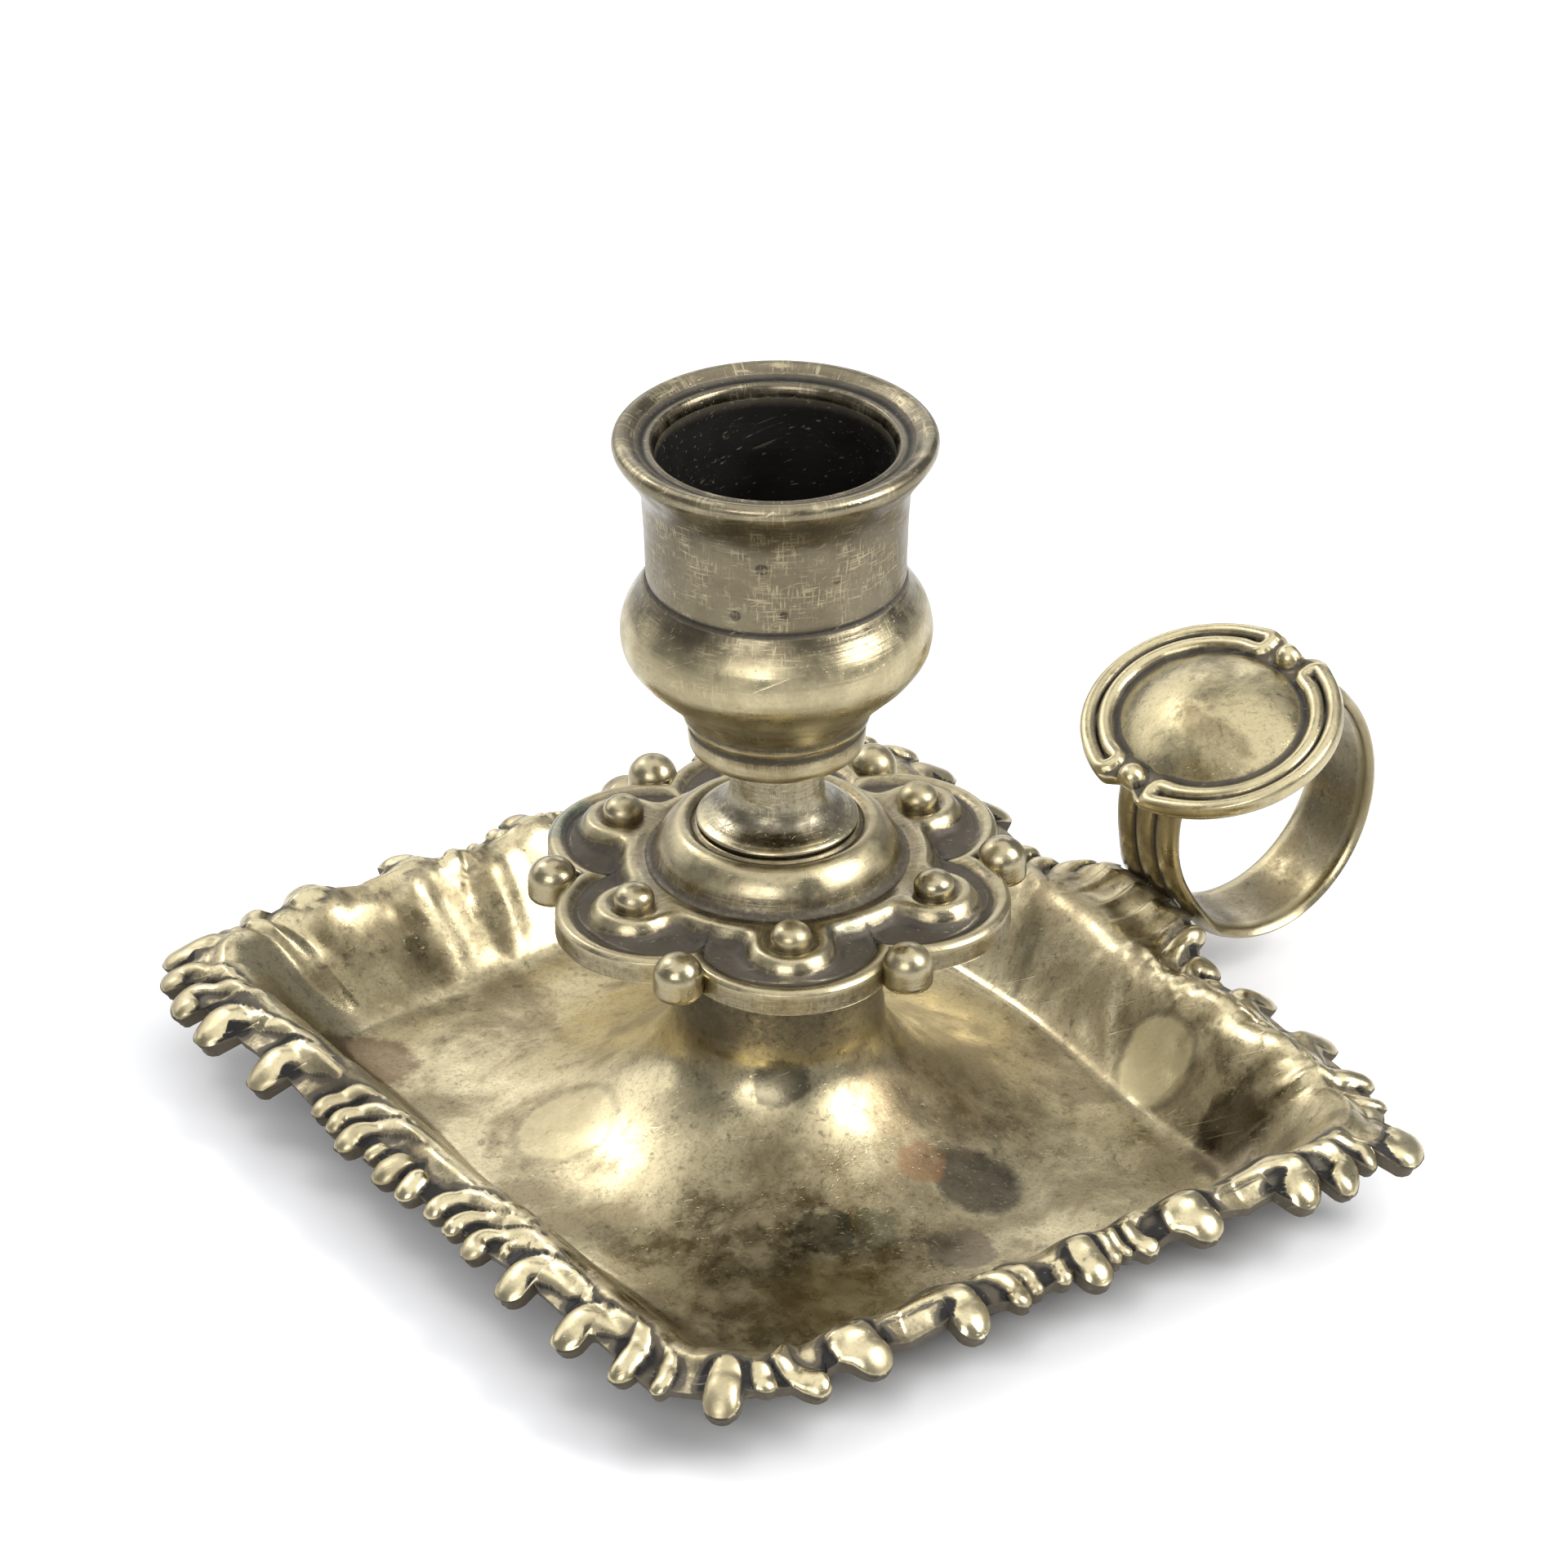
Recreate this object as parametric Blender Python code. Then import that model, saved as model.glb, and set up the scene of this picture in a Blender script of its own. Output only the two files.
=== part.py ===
"""Brass chamberstick: a cast rectangular tray with a gadrooned border and a
bell-shaped centre, a six-lobed drip plate, a turned stem collar and a candle
socket, stacked on one tie rod, with a strap finger ring and a thumb plate.

The shapes are worked out in millimetres about the stem's axis, with the table
at z = 0, and are turned into metres as each mesh is made. The finger ring is
on the +X side. The frame's origin is the middle of the whole footprint, so the
stem's axis stands at STEM_X.
"""
import math

import bmesh
import bpy
import numpy as np

MM = 0.001
GAP = 0.3                # clearance between neighbours that touch

# Candle socket
BORE_RADIUS = 11.0       # takes a 22 mm candle
BORE_DEPTH = 23.0
RIM_TOP = 75.0
RIM_RADIUS = 15.0
LIP_RADIUS = 11.7
SOCKET_BASE = 42.4       # flat underside of the knop
KNOP_RADIUS = 8.3
# Turned outlines are lists of (radius, height), each from its foot upwards.
SOCKET_BULB = [(8.9, 46.8), (10.3, 48.6), (12.1, 50.3), (13.6, 52.0), (14.4, 53.9),
               (14.5, 55.2), (14.1, 57.1), (13.2, 58.6), (12.4, 59.8)]
SOCKET_WALL = [(12.0, 60.5), (12.1, 64.5), (12.3, 68.2)]
SOCKET_FLARE = [(12.5, 69.4), (13.2, 71.1), (14.2, 72.6), (14.9, 73.5)]

# Stem collar
NECK_RADIUS = 4.0
FOOT_RADIUS = 6.9
FOOT_HEIGHT = 34.2       # where the collar rises out of the drip plate
FOOT_DEPTH = 2.8         # how far the foot sits down in the plate's seat

# Drip plate
LOBES = 6
LOBE_CENTRE = 13.1       # from the axis to the centre of each lobe's arc
LOBE_RADIUS = 10.0
PLATE_BOTTOM = 26.8
PLATE_EDGE_TOP = 29.0
BEAD_CIRCLE = 16.2
BEAD_RADIUS = 1.9
BALL_CIRCLE = 21.2
BALL_RADIUS = 2.35
SEAT_RADIUS = 7.3        # recess that takes the collar's foot
SEAT_HEIGHT = 31.1
PLATE_SIDES = 72
PLATE_BOSS = [(11.6, 30.2), (11.2, 32.2), (10.1, 33.8), (9.2, 34.1), (8.3, 33.9), (7.9, 33.0), (7.6, 33.9)]
BEAD = [(BEAD_RADIUS, 31.3), (1.5, 32.4), (0.8, 33.0), (0.0, 33.2)]
BALL = [(BALL_RADIUS, 29.2), (2.1, 30.3), (1.2, 31.3), (0.0, 31.7)]

# Tray
FLOOR_THICKNESS = 1.5
WALL_THICKNESS = 1.25
CREST_HEIGHT = 9.7
TIP_HEIGHT = 8.0
BELL_TOP = 26.5
BELL_ROOF = 2.2
BELL_WALL = 1.5
BELL_FLARE = [(27.5, 1.5), (24.0, 2.3), (19.2, 4.5), (15.4, 6.7), (12.7, 9.0), (11.1, 11.4), (10.3, 14.0)]
BELL_NECK = [(10.0, 14.3), (10.0, 20.0), (9.9, BELL_TOP)]
# Each ring of the tray: half size in X and Y, and half length of its straight
# sides along X and Y. What is left of each side is an elliptical corner.
FLOOR_EDGE = (28.8, 36.2, 22.0, 29.4)
CREST = (37.1, 44.9, 28.1, 35.9)
OUTER = (43.5, 50.0, 28.8, 37.7)
# Border tips on half a side: distance from its middle, half width, reach.
LONG_SIDE_TIPS = [(1.9, 1.9, 1.0), (5.4, 1.4, 0.78), (8.2, 1.6, 0.84), (11.4, 1.6, 0.84),
                  (15.0, 1.8, 0.84), (21.8, 3.2, 1.0), (31.4, 3.4, 0.95), (37.7, 2.4, 0.88)]
SHORT_SIDE_TIPS = [(1.9, 1.9, 1.0), (5.0, 1.5, 0.72), (8.6, 1.9, 0.76), (14.4, 3.2, 0.95),
                   (22.8, 3.4, 0.98), (28.8, 2.4, 1.0)]
# Corner shell: angle round the corner, half width, reach.
CORNER_TIPS = [(22.0, 7.0, 0.80), (45.0, 11.0, 0.98), (68.0, 7.0, 0.80)]
NOTCH_REACH = 0.50       # reach of the border between two tips
TIP_WIDENING = 1.25      # neighbouring tips' caps run into each other
TIP_CROWN = 0.7          # how far a tip's ridge stands above the border's fall
WALL_SHARES = (0.3, 0.7, 1.0)
BORDER_SHARES = (0.55, 1.0)
TONGUE_HALF_WIDTH = 7.0  # middle of the +X side, drawn out to meet the finger ring
TONGUE_REACH = 2.6
TONGUE_RISE = 0.9
SIDE_STEP = 1.8          # spacing of the sections along the sides
CORNER_SECTIONS = 12
BELL_SHARE = 4           # sections of the border for each one of the bell

# Finger ring: a strap bent to an ellipse, welded to the border's outer edge
RING_CENTRE = (55.9, 18.4)
RING_RADII = (12.8, 14.3)
STRAP_THICKNESS = 1.45
STRAP_HALF_WIDTH = 4.2
STRAP_FLARE = 1.9        # extra half width where the strap meets the border
FLARE_ANGLE = 219.0
FLARE_SPREAD = 17.0
REED_DEPTH = 0.35
RING_START = 160.0       # the strap's last free sections, under the thumb plate
RING_END = 412.0
RING_SECTIONS = 40
INSIDE_OF_STRAP = [(0.9, -0.47), (0.5, -0.725), (-0.5, -0.725), (-0.9, -0.47)]

# Thumb plate
THUMB_CENTRE = (50.9, 28.9)
THUMB_TILT = 20.6
THUMB_RADII = (10.9, 12.9)
THUMB_THICKNESS = 1.9
DOME_RADII = (6.9, 8.6)
DOME_RISE = 2.4
DOME_FOOT = -0.5
DOME_SHARES = (1.0, 0.85, 0.62, 0.35)
THUMB_WAIST = 0.06       # dip in the border at both ends, where its reeds break
THUMB_SIDES = 40
# Share of the outline and height above the top face, from below to the dome.
THUMB_BORDER = [(0.93, -1.9), (1.0, -1.3), (1.0, -0.5), (0.96, 0.0), (0.90, 0.1), (0.86, -0.3),
                (0.80, -0.1), (0.74, DOME_FOOT)]

# Tie rod, washer and nut
ROD_RADIUS = 2.4
ROD_BOTTOM = 16.0
ROD_TOP = 50.0
ROD_CHAMFER = 0.5
WASHER_RADIUS = 6.0
WASHER_THICKNESS = 1.0
NUT_ACROSS_FLATS = 9.0
NUT_HEIGHT = 4.0

HOLE_RADIUS = ROD_RADIUS + GAP
RING_REACH = RING_CENTRE[0] + RING_RADII[0]
STEM_X = (OUTER[0] - RING_REACH) / 2

# Finishes: colour, roughness, metallic
AGED_BRASS = ("aged_brass", (0.36, 0.29, 0.15), 0.38, 1.0)
WORN_BRASS = ("worn_brass", (0.48, 0.42, 0.28), 0.30, 1.0)
STEEL = ("plain_steel", (0.34, 0.33, 0.31), 0.45, 1.0)


# ---------------------------------------------------------------- helpers

def clear_scene():
    for obj in list(bpy.data.objects):
        bpy.data.objects.remove(obj, do_unlink=True)


def new_material(name, finish):
    label, colour, roughness, metallic = finish
    material = bpy.data.materials.new(f"{label}_{name}")
    material.use_nodes = True
    shader = material.node_tree.nodes["Principled BSDF"]
    shader.inputs["Base Color"].default_value = (*colour, 1.0)
    shader.inputs["Roughness"].default_value = roughness
    shader.inputs["Metallic"].default_value = metallic
    return material


def add_part(name, points, faces, finish, anchor, sharp=40.0):
    """Make one closed object from points in millimetres, hung on an empty."""
    mesh = bpy.data.meshes.new(name)
    mesh.from_pydata((np.asarray(points) * MM).tolist(), [], faces)
    work = bmesh.new()
    work.from_mesh(mesh)
    bmesh.ops.triangulate(work, faces=[f for f in work.faces if len(f.verts) > 4])
    bmesh.ops.recalc_face_normals(work, faces=work.faces)
    work.to_mesh(mesh)
    work.free()
    mesh.shade_smooth()
    mesh.set_sharp_from_angle(angle=math.radians(sharp))
    mesh.materials.append(new_material(name, finish))
    part = bpy.data.objects.new(name, mesh)
    bpy.context.collection.objects.link(part)
    part.parent = anchor
    return part


def smooth_curve(points, steps):
    """Points on a smooth curve through the given ones (Catmull-Rom)."""
    pts = np.asarray(points, float)
    pts = np.vstack([2 * pts[0] - pts[1], pts, 2 * pts[-1] - pts[-2]])
    t = np.linspace(0, 1, steps, endpoint=False)[:, None]
    spans = []
    for a, b, c, d in zip(pts, pts[1:], pts[2:], pts[3:]):
        bend = (2 * a - 5 * b + 4 * c - d) * t ** 2 + (3 * b - a - 3 * c + d) * t ** 3
        spans.append(0.5 * (2 * b + (c - a) * t + bend))
    return np.vstack(spans + [pts[-2][None]])


def grid_faces(rows, columns, start=0):
    """Quads between successive rings of points, each ring closed on itself."""
    faces = []
    for row in range(rows - 1):
        for column in range(columns):
            nxt = (column + 1) % columns
            low = start + row * columns
            high = low + columns
            faces.append((low + column, low + nxt, high + nxt, high + column))
    return faces


def closing_faces(rows, columns):
    """Quads from the last ring of points back to the first."""
    last = (rows - 1) * columns
    return [(last + i, last + (i + 1) % columns, (i + 1) % columns, i) for i in range(columns)]


def turn(profile, sides):
    """Closed solid of revolution. The profile is a list of (r, z); where it
    starts or ends on the axis the ring becomes a single pole."""
    profile = np.asarray(profile, float)
    closed = profile[0][0] > 1e-6
    rings = profile if closed else profile[1:-1]
    angle = np.arange(sides) * 2 * math.pi / sides
    ring = np.stack([np.cos(angle), np.sin(angle)], 1)
    points = [(*(r * ring[i]), z) for r, z in rings for i in range(sides)]
    faces = grid_faces(len(rings), sides)
    if closed:
        return points, faces + closing_faces(len(rings), sides)
    points += [(0, 0, profile[0][1]), (0, 0, profile[-1][1])]
    last = (len(rings) - 1) * sides
    top = len(points) - 2
    faces += [(top, i, (i + 1) % sides) for i in range(sides)]
    faces += [(top + 1, last + (i + 1) % sides, last + i) for i in range(sides)]
    return points, faces


# ------------------------------------------------------------------- tray

def quarter_sections(side, corner_steps):
    """Section positions on a quarter of the tray's outline, from the middle of
    the +X side to the middle of the +Y side: (side, position) pairs, where the
    position is 0..1 along the half side or 0..90 degrees round the corner."""
    long_steps = round(OUTER[3] / side)
    short_steps = round(OUTER[2] / side)
    sections = [("long", i / long_steps) for i in range(long_steps)]
    sections += [("corner", 90 * i / corner_steps) for i in range(corner_steps)]
    sections += [("short", 1 - i / short_steps) for i in range(short_steps)]
    return sections


def outline_point(ring, side, position):
    """Point of one ring at a section of the first quarter."""
    half_x, half_y, straight_x, straight_y = ring
    if side == "long":
        return half_x, position * straight_y
    if side == "short":
        return position * straight_x, half_y
    angle = math.radians(position)
    return (straight_x + (half_x - straight_x) * math.cos(angle),
            straight_y + (half_y - straight_y) * math.sin(angle))


def border_reach(side, position):
    """How far the border reaches at a section, from the crest (0) to the outer
    ring (1): a rounded cap at every tip, and a plain edge between them."""
    tips = {"long": LONG_SIDE_TIPS, "short": SHORT_SIDE_TIPS, "corner": CORNER_TIPS}[side]
    if side == "long":
        position *= OUTER[3]
    if side == "short":
        position *= OUTER[2]
    reach = NOTCH_REACH
    for middle, half_width, top in tips:
        offset = (position - middle) / (TIP_WIDENING * half_width)
        if abs(offset) < 1:
            cap = math.sqrt(1 - offset ** 2)
            reach = max(reach, NOTCH_REACH + (top - NOTCH_REACH) * cap)
    return reach


def mix(ring_a, ring_b, share):
    return [a + (b - a) * share for a, b in zip(ring_a, ring_b)]


def tray_section(side, position):
    """Top surface of the tray at one section of the first quarter, from the
    floor's edge over the wall and its crest to the border's tip."""
    line = [(*outline_point(mix(FLOOR_EDGE, CREST, -0.05), side, position), FLOOR_THICKNESS)]
    for share in WALL_SHARES:
        rise = math.sin(share * math.pi / 2) ** 1.15
        ring = mix(FLOOR_EDGE, CREST, share)
        height = FLOOR_THICKNESS + (CREST_HEIGHT - FLOOR_THICKNESS) * rise
        line.append((*outline_point(ring, side, position), height))
    reach = border_reach(side, position)
    crown = (reach - NOTCH_REACH) / (1 - NOTCH_REACH)
    for share in BORDER_SHARES:
        ring = mix(CREST, OUTER, reach * share)
        fall = (CREST_HEIGHT - TIP_HEIGHT) * share ** 2
        height = CREST_HEIGHT - fall + TIP_CROWN * crown * (1 - share)
        line.append((*outline_point(ring, side, position), height))
    return line


def whole_outline(quarter):
    """Repeat the first quarter's sections all round, mirrored from side to side."""
    quarter = np.asarray(quarter)
    flip_x = np.array([-1, 1, 1])
    flip_y = np.array([1, -1, 1])
    second = (quarter * flip_x)[::-1]
    third = quarter * flip_x * flip_y
    fourth = (quarter * flip_y)[::-1]
    return np.concatenate([quarter[:-1], second[:-1], third[:-1], fourth[:-1]])


def bell_profile():
    """Outside of the bell as (r, z), from its foot up to the flat roof."""
    return [tuple(p) for p in smooth_curve(BELL_FLARE, 2)] + BELL_NECK


def offset_inside(surface, thickness):
    """Second skin of a closed strip of rings, set back along its normals.
    Rows run outwards and columns run round."""
    along = np.roll(surface, -1, 0) - np.roll(surface, 1, 0)
    across = np.gradient(surface, axis=1)
    normal = np.cross(across, along)
    normal /= np.linalg.norm(normal, axis=2, keepdims=True)
    normal *= np.sign(normal[:, :1, 2:3].mean())
    return surface - normal * thickness


def bridge_faces(fine, coarse, count, ratio):
    """Triangles between a ring of count points and one with fewer points."""
    few = count // ratio
    faces = []
    for i in range(few):
        nxt = coarse + (i + 1) % few
        for k in range(ratio):
            a = fine + i * ratio + k
            b = fine + (i * ratio + k + 1) % count
            faces.append((coarse + i if k < ratio / 2 else nxt, a, b))
        middle = fine + i * ratio + ratio // 2
        faces.append((coarse + i, middle, nxt))
    return faces


def draw_tongue(top):
    """Draw the border out and up in the middle of the handle's side."""
    near = (top[:, -1, 0] > 0) & (np.abs(top[:, -1, 1]) < TONGUE_HALF_WIDTH)
    swell = 0.5 + 0.5 * np.cos(math.pi * top[:, -1, 1] / TONGUE_HALF_WIDTH)
    for ring, share in ((-2, 0.5), (-1, 1.0)):
        top[near, ring, 0] += TONGUE_REACH * share * swell[near]
        top[near, ring, 2] += TONGUE_RISE * share * swell[near]


def make_tray(anchor):
    """Closed shell: rings run from the floor's underside up inside the bell,
    through the rod's hole, down the bell's outside, over the floor, up the wall
    to the border's tips and back along the underside."""
    sections = quarter_sections(SIDE_STEP, CORNER_SECTIONS) + [("short", 0.0)]
    top = whole_outline([tray_section(*section) for section in sections])
    draw_tongue(top)
    count = len(top)
    under = offset_inside(top, WALL_THICKNESS)
    under[:, 0, 2] = 0.0
    rims = [top[:, i] for i in range(top.shape[1])]
    rims += [under[:, i] for i in range(under.shape[1] - 1, -1, -1)]
    direction = top[::BELL_SHARE, 0, :2]
    direction = direction / np.linalg.norm(direction, axis=1, keepdims=True)
    outside = bell_profile()
    inside = [(r - BELL_WALL, max(z - BELL_WALL, 0.0)) for r, z in outside[:-1]]
    roof = BELL_TOP - BELL_ROOF
    ceiling = [(inside[-1][0], roof), (HOLE_RADIUS, roof), (HOLE_RADIUS, BELL_TOP)]
    turned = inside + ceiling + outside[::-1]
    bell = [np.column_stack([direction * r, np.full(len(direction), z)]) for r, z in turned]
    faces = grid_faces(len(bell), len(direction))
    faces += grid_faces(len(rims), count, start=len(bell) * len(direction))
    first_rim = len(bell) * len(direction)
    last_bell = first_rim - len(direction)
    last_rim = first_rim + (len(rims) - 1) * count
    faces += bridge_faces(first_rim, last_bell, count, BELL_SHARE)
    faces += bridge_faces(last_rim, 0, count, BELL_SHARE)
    return add_part("tray", np.concatenate(bell + rims), faces, AGED_BRASS, anchor)


# ------------------------------------------------------------- drip plate

def lobed_radius(angle, centre, radius):
    """Distance from the axis to an outline of LOBES equal arcs."""
    step = 2 * math.pi / LOBES
    local = (angle + step / 2) % step - step / 2
    return centre * math.cos(local) + math.sqrt(radius ** 2 - (centre * math.sin(local)) ** 2)


def plate_outlines():
    """Lobed rings of the plate's edge, from its underside up over the rolled rim
    and down to the rosette's step: arc centre, arc radius, height."""
    rim = [(-0.5, PLATE_BOTTOM), (0.0, PLATE_BOTTOM + 0.4), (0.0, PLATE_EDGE_TOP - 0.7),
           (-0.9, PLATE_EDGE_TOP), (-2.0, PLATE_EDGE_TOP - 0.5)]
    rosette = [(12.2, 7.4, PLATE_EDGE_TOP - 0.6), (12.0, 6.8, PLATE_EDGE_TOP + 0.6)]
    return [(LOBE_CENTRE, LOBE_RADIUS + inset, z) for inset, z in rim] + rosette


def make_drip_plate(anchor):
    """Flat underside, lobed edge, rosette and a round boss with the collar's
    seat; a bead stands on every lobe and a ball in every notch."""
    angles = np.arange(PLATE_SIDES) * 2 * math.pi / PLATE_SIDES
    ring = np.stack([np.cos(angles), np.sin(angles)], 1)
    seat = [(SEAT_RADIUS, 33.6), (SEAT_RADIUS, SEAT_HEIGHT), (HOLE_RADIUS, SEAT_HEIGHT)]
    sections = [(np.full(PLATE_SIDES, HOLE_RADIUS), PLATE_BOTTOM)]
    for centre, radius, z in plate_outlines():
        sections.append((np.array([lobed_radius(a, centre, radius) for a in angles]), z))
    sections += [(np.full(PLATE_SIDES, r), z) for r, z in PLATE_BOSS + seat]
    rings = [np.column_stack([ring * r[:, None], np.full(PLATE_SIDES, z)]) for r, z in sections]
    faces = grid_faces(len(rings), PLATE_SIDES) + closing_faces(len(rings), PLATE_SIDES)
    plate = add_part("drip_plate", np.concatenate(rings), faces, AGED_BRASS, anchor)
    for lobe in range(LOBES):
        bead_angle = lobe * 2 * math.pi / LOBES
        bead = turn([(0, 28.0), (BEAD_RADIUS, 28.0)] + BEAD, 12)
        join(plate, bead, BEAD_CIRCLE, bead_angle)
        ball = turn([(0, PLATE_BOTTOM), (BALL_RADIUS, PLATE_BOTTOM)] + BALL, 12)
        join(plate, ball, BALL_CIRCLE, bead_angle + math.pi / LOBES)
    return plate


def join(part, shape, distance, angle):
    """Join an upright turned shape, given about its own axis, to a part."""
    points, faces = shape
    place = np.array([distance * math.cos(angle), distance * math.sin(angle), 0.0])
    cutter = add_part("joined_piece", np.asarray(points) + place, faces, AGED_BRASS, part.parent)
    cutter.hide_render = True
    cutter.display_type = "WIRE"
    union = part.modifiers.new(f"union_{len(part.modifiers)}", "BOOLEAN")
    union.operation = "UNION"
    union.solver = "EXACT"
    union.object = cutter


# ------------------------------------------------- collar, socket, fixings

def make_stem_collar(anchor):
    """Flared foot below, straight neck above, with the rod's hole through both."""
    flare = smooth_curve([(FOOT_RADIUS - 0.3, FOOT_HEIGHT), (FOOT_RADIUS, FOOT_HEIGHT + 0.7),
                          (5.6, FOOT_HEIGHT + 2.0), (4.4, FOOT_HEIGHT + 3.8),
                          (NECK_RADIUS, FOOT_HEIGHT + 5.4)], 3)
    top = SOCKET_BASE - GAP
    foot = FOOT_HEIGHT - FOOT_DEPTH
    profile = [(HOLE_RADIUS, foot), (FOOT_RADIUS - 0.4, foot)] + [tuple(p) for p in flare]
    profile += [(NECK_RADIUS, top), (HOLE_RADIUS, top)]
    return add_part("stem_collar", *turn(profile, 36), WORN_BRASS, anchor)


def make_candle_socket(anchor):
    """Turned cup: blind hole for the rod below, candle bore above."""
    knop = [(KNOP_RADIUS - 0.6, SOCKET_BASE), (KNOP_RADIUS - 0.1, SOCKET_BASE + 0.7),
            (KNOP_RADIUS, 44.4), (8.4, 45.4), (8.7, 46.4)]
    curves = [tuple(p) for p in smooth_curve(SOCKET_BULB, 2)] + SOCKET_WALL
    curves += [tuple(p) for p in smooth_curve(SOCKET_FLARE, 2)]
    rim = [(RIM_RADIUS, 74.1), (RIM_RADIUS - 0.2, RIM_TOP - 0.3), (RIM_RADIUS - 0.7, RIM_TOP),
           (13.6, 74.7), (12.3, 74.0), (LIP_RADIUS, 73.6), (BORE_RADIUS, 72.4)]
    seat = RIM_TOP - BORE_DEPTH
    blind_hole = [(0, ROD_TOP + GAP), (HOLE_RADIUS, ROD_TOP + GAP), (HOLE_RADIUS, SOCKET_BASE)]
    profile = blind_hole + knop + curves + rim + [(BORE_RADIUS, seat), (0, seat)]
    return add_part("candle_socket", *turn(profile, 40), AGED_BRASS, anchor)


def make_tie_rod(anchor):
    end_radius = ROD_RADIUS - ROD_CHAMFER
    profile = [(0, ROD_BOTTOM), (end_radius, ROD_BOTTOM), (ROD_RADIUS, ROD_BOTTOM + ROD_CHAMFER),
               (ROD_RADIUS, ROD_TOP - ROD_CHAMFER), (end_radius, ROD_TOP), (0, ROD_TOP)]
    return add_part("tie_rod", *turn(profile, 20), STEEL, anchor)


def make_washer(anchor):
    top = BELL_TOP - BELL_ROOF - GAP
    bottom = top - WASHER_THICKNESS
    profile = [(HOLE_RADIUS, bottom), (WASHER_RADIUS, bottom), (WASHER_RADIUS, top), (HOLE_RADIUS, top)]
    return add_part("washer", *turn(profile, 24), AGED_BRASS, anchor)


def make_nut(anchor):
    """Hexagon nut: the outer rings follow six flats, the hole stays round."""
    sides = 24
    top = BELL_TOP - BELL_ROOF - 2 * GAP - WASHER_THICKNESS
    bottom = top - NUT_HEIGHT
    points, faces = turn([(HOLE_RADIUS, bottom), (1, bottom), (1, top), (HOLE_RADIUS, top)], sides)
    points = np.array(points)
    angle = np.arange(sides) * 2 * math.pi / sides
    local = (angle + math.pi / 6) % (math.pi / 3) - math.pi / 6
    flats = (NUT_ACROSS_FLATS / 2 / np.cos(local))[:, None]
    points[sides:2 * sides, :2] *= flats
    points[2 * sides:3 * sides, :2] *= flats
    return add_part("nut", points, faces, STEEL, anchor, sharp=20.0)


# ---------------------------------------------------------------- handle

def run_to_plate(section, tangent):
    """Carry a strap's end along its tangent until it meets the thumb plate's
    underside, less the clearance."""
    tilt = math.radians(THUMB_TILT)
    normal = np.array([-math.sin(tilt), 0, math.cos(tilt)])
    centre = np.array([THUMB_CENTRE[0], 0, THUMB_CENTRE[1]])
    below = normal @ centre - THUMB_THICKNESS - GAP
    travel = (below - section @ normal) / (tangent @ normal)
    return section + travel[:, None] * tangent


def make_finger_ring(anchor):
    """Strap carried round an ellipse in the XZ plane. Its section has three
    reeds on the outside and is flat with rounded edges on the inside."""
    across = np.linspace(-1, 1, 13)
    reeds = REED_DEPTH * (np.cos(across * 3 * math.pi) * 0.5 - 0.5)
    edge = STRAP_THICKNESS / 2 * (1 - np.abs(across) ** 6)
    section = np.vstack([np.stack([across, edge + reeds], 1), INSIDE_OF_STRAP])
    angle = np.radians(np.linspace(RING_START, RING_END, RING_SECTIONS))
    mean = (RING_RADII[0] - STRAP_THICKNESS / 2, RING_RADII[1] - STRAP_THICKNESS / 2)
    middle = np.stack([RING_CENTRE[0] + mean[0] * np.cos(angle),
                       RING_CENTRE[1] + mean[1] * np.sin(angle)], 1)
    outward = np.stack([np.cos(angle) / mean[0], np.sin(angle) / mean[1]], 1)
    outward /= np.linalg.norm(outward, axis=1, keepdims=True)
    rings = []
    flare = STRAP_FLARE * np.exp(-((np.degrees(angle) - FLARE_ANGLE) / FLARE_SPREAD) ** 2)
    for centre, normal, width in zip(middle, outward, STRAP_HALF_WIDTH + flare):
        rings.append(np.stack([centre[0] + section[:, 1] * normal[0], section[:, 0] * width,
                               centre[1] + section[:, 1] * normal[1]], 1))
    for end, direction in ((0, -1), (-1, 1)):
        tangent = np.array([-outward[end][1], 0, outward[end][0]]) * direction
        rings[end] = run_to_plate(rings[end], tangent)
    count = len(section)
    faces = grid_faces(len(rings), count)
    last = (len(rings) - 1) * count
    faces += [tuple(range(count))[::-1], tuple(range(last, last + count))]
    return add_part("finger_ring", np.concatenate(rings), faces, AGED_BRASS, anchor)


def make_thumb_plate(anchor):
    """Oval plate with a rolled border and a domed middle, tilted about Y."""
    angle = np.arange(THUMB_SIDES) * 2 * math.pi / THUMB_SIDES
    ring = np.stack([np.cos(angle), np.sin(angle)], 1)
    waist = 1 - THUMB_WAIST * np.exp(-(np.sin(angle) / 0.16) ** 2)
    outline = ring * THUMB_RADII * waist[:, None]
    sections = [(outline * share, height) for share, height in THUMB_BORDER]
    for share in DOME_SHARES:
        sections.append((ring * DOME_RADII * share, DOME_FOOT + DOME_RISE * (1 - share ** 2)))
    rings = [np.column_stack([flat, np.full(THUMB_SIDES, height)]) for flat, height in sections]
    points = np.concatenate(rings + [np.array([[0, 0, DOME_FOOT + DOME_RISE]])])
    faces = grid_faces(len(rings), THUMB_SIDES)
    last = (len(rings) - 1) * THUMB_SIDES
    faces += [(len(points) - 1, last + i, last + (i + 1) % THUMB_SIDES) for i in range(THUMB_SIDES)]
    faces.append(tuple(range(THUMB_SIDES))[::-1])
    plate = add_part("thumb_plate", points, faces, AGED_BRASS, anchor)
    plate.location = (THUMB_CENTRE[0] * MM, 0, THUMB_CENTRE[1] * MM)
    plate.rotation_euler = (0, -math.radians(THUMB_TILT), 0)
    return plate


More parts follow.
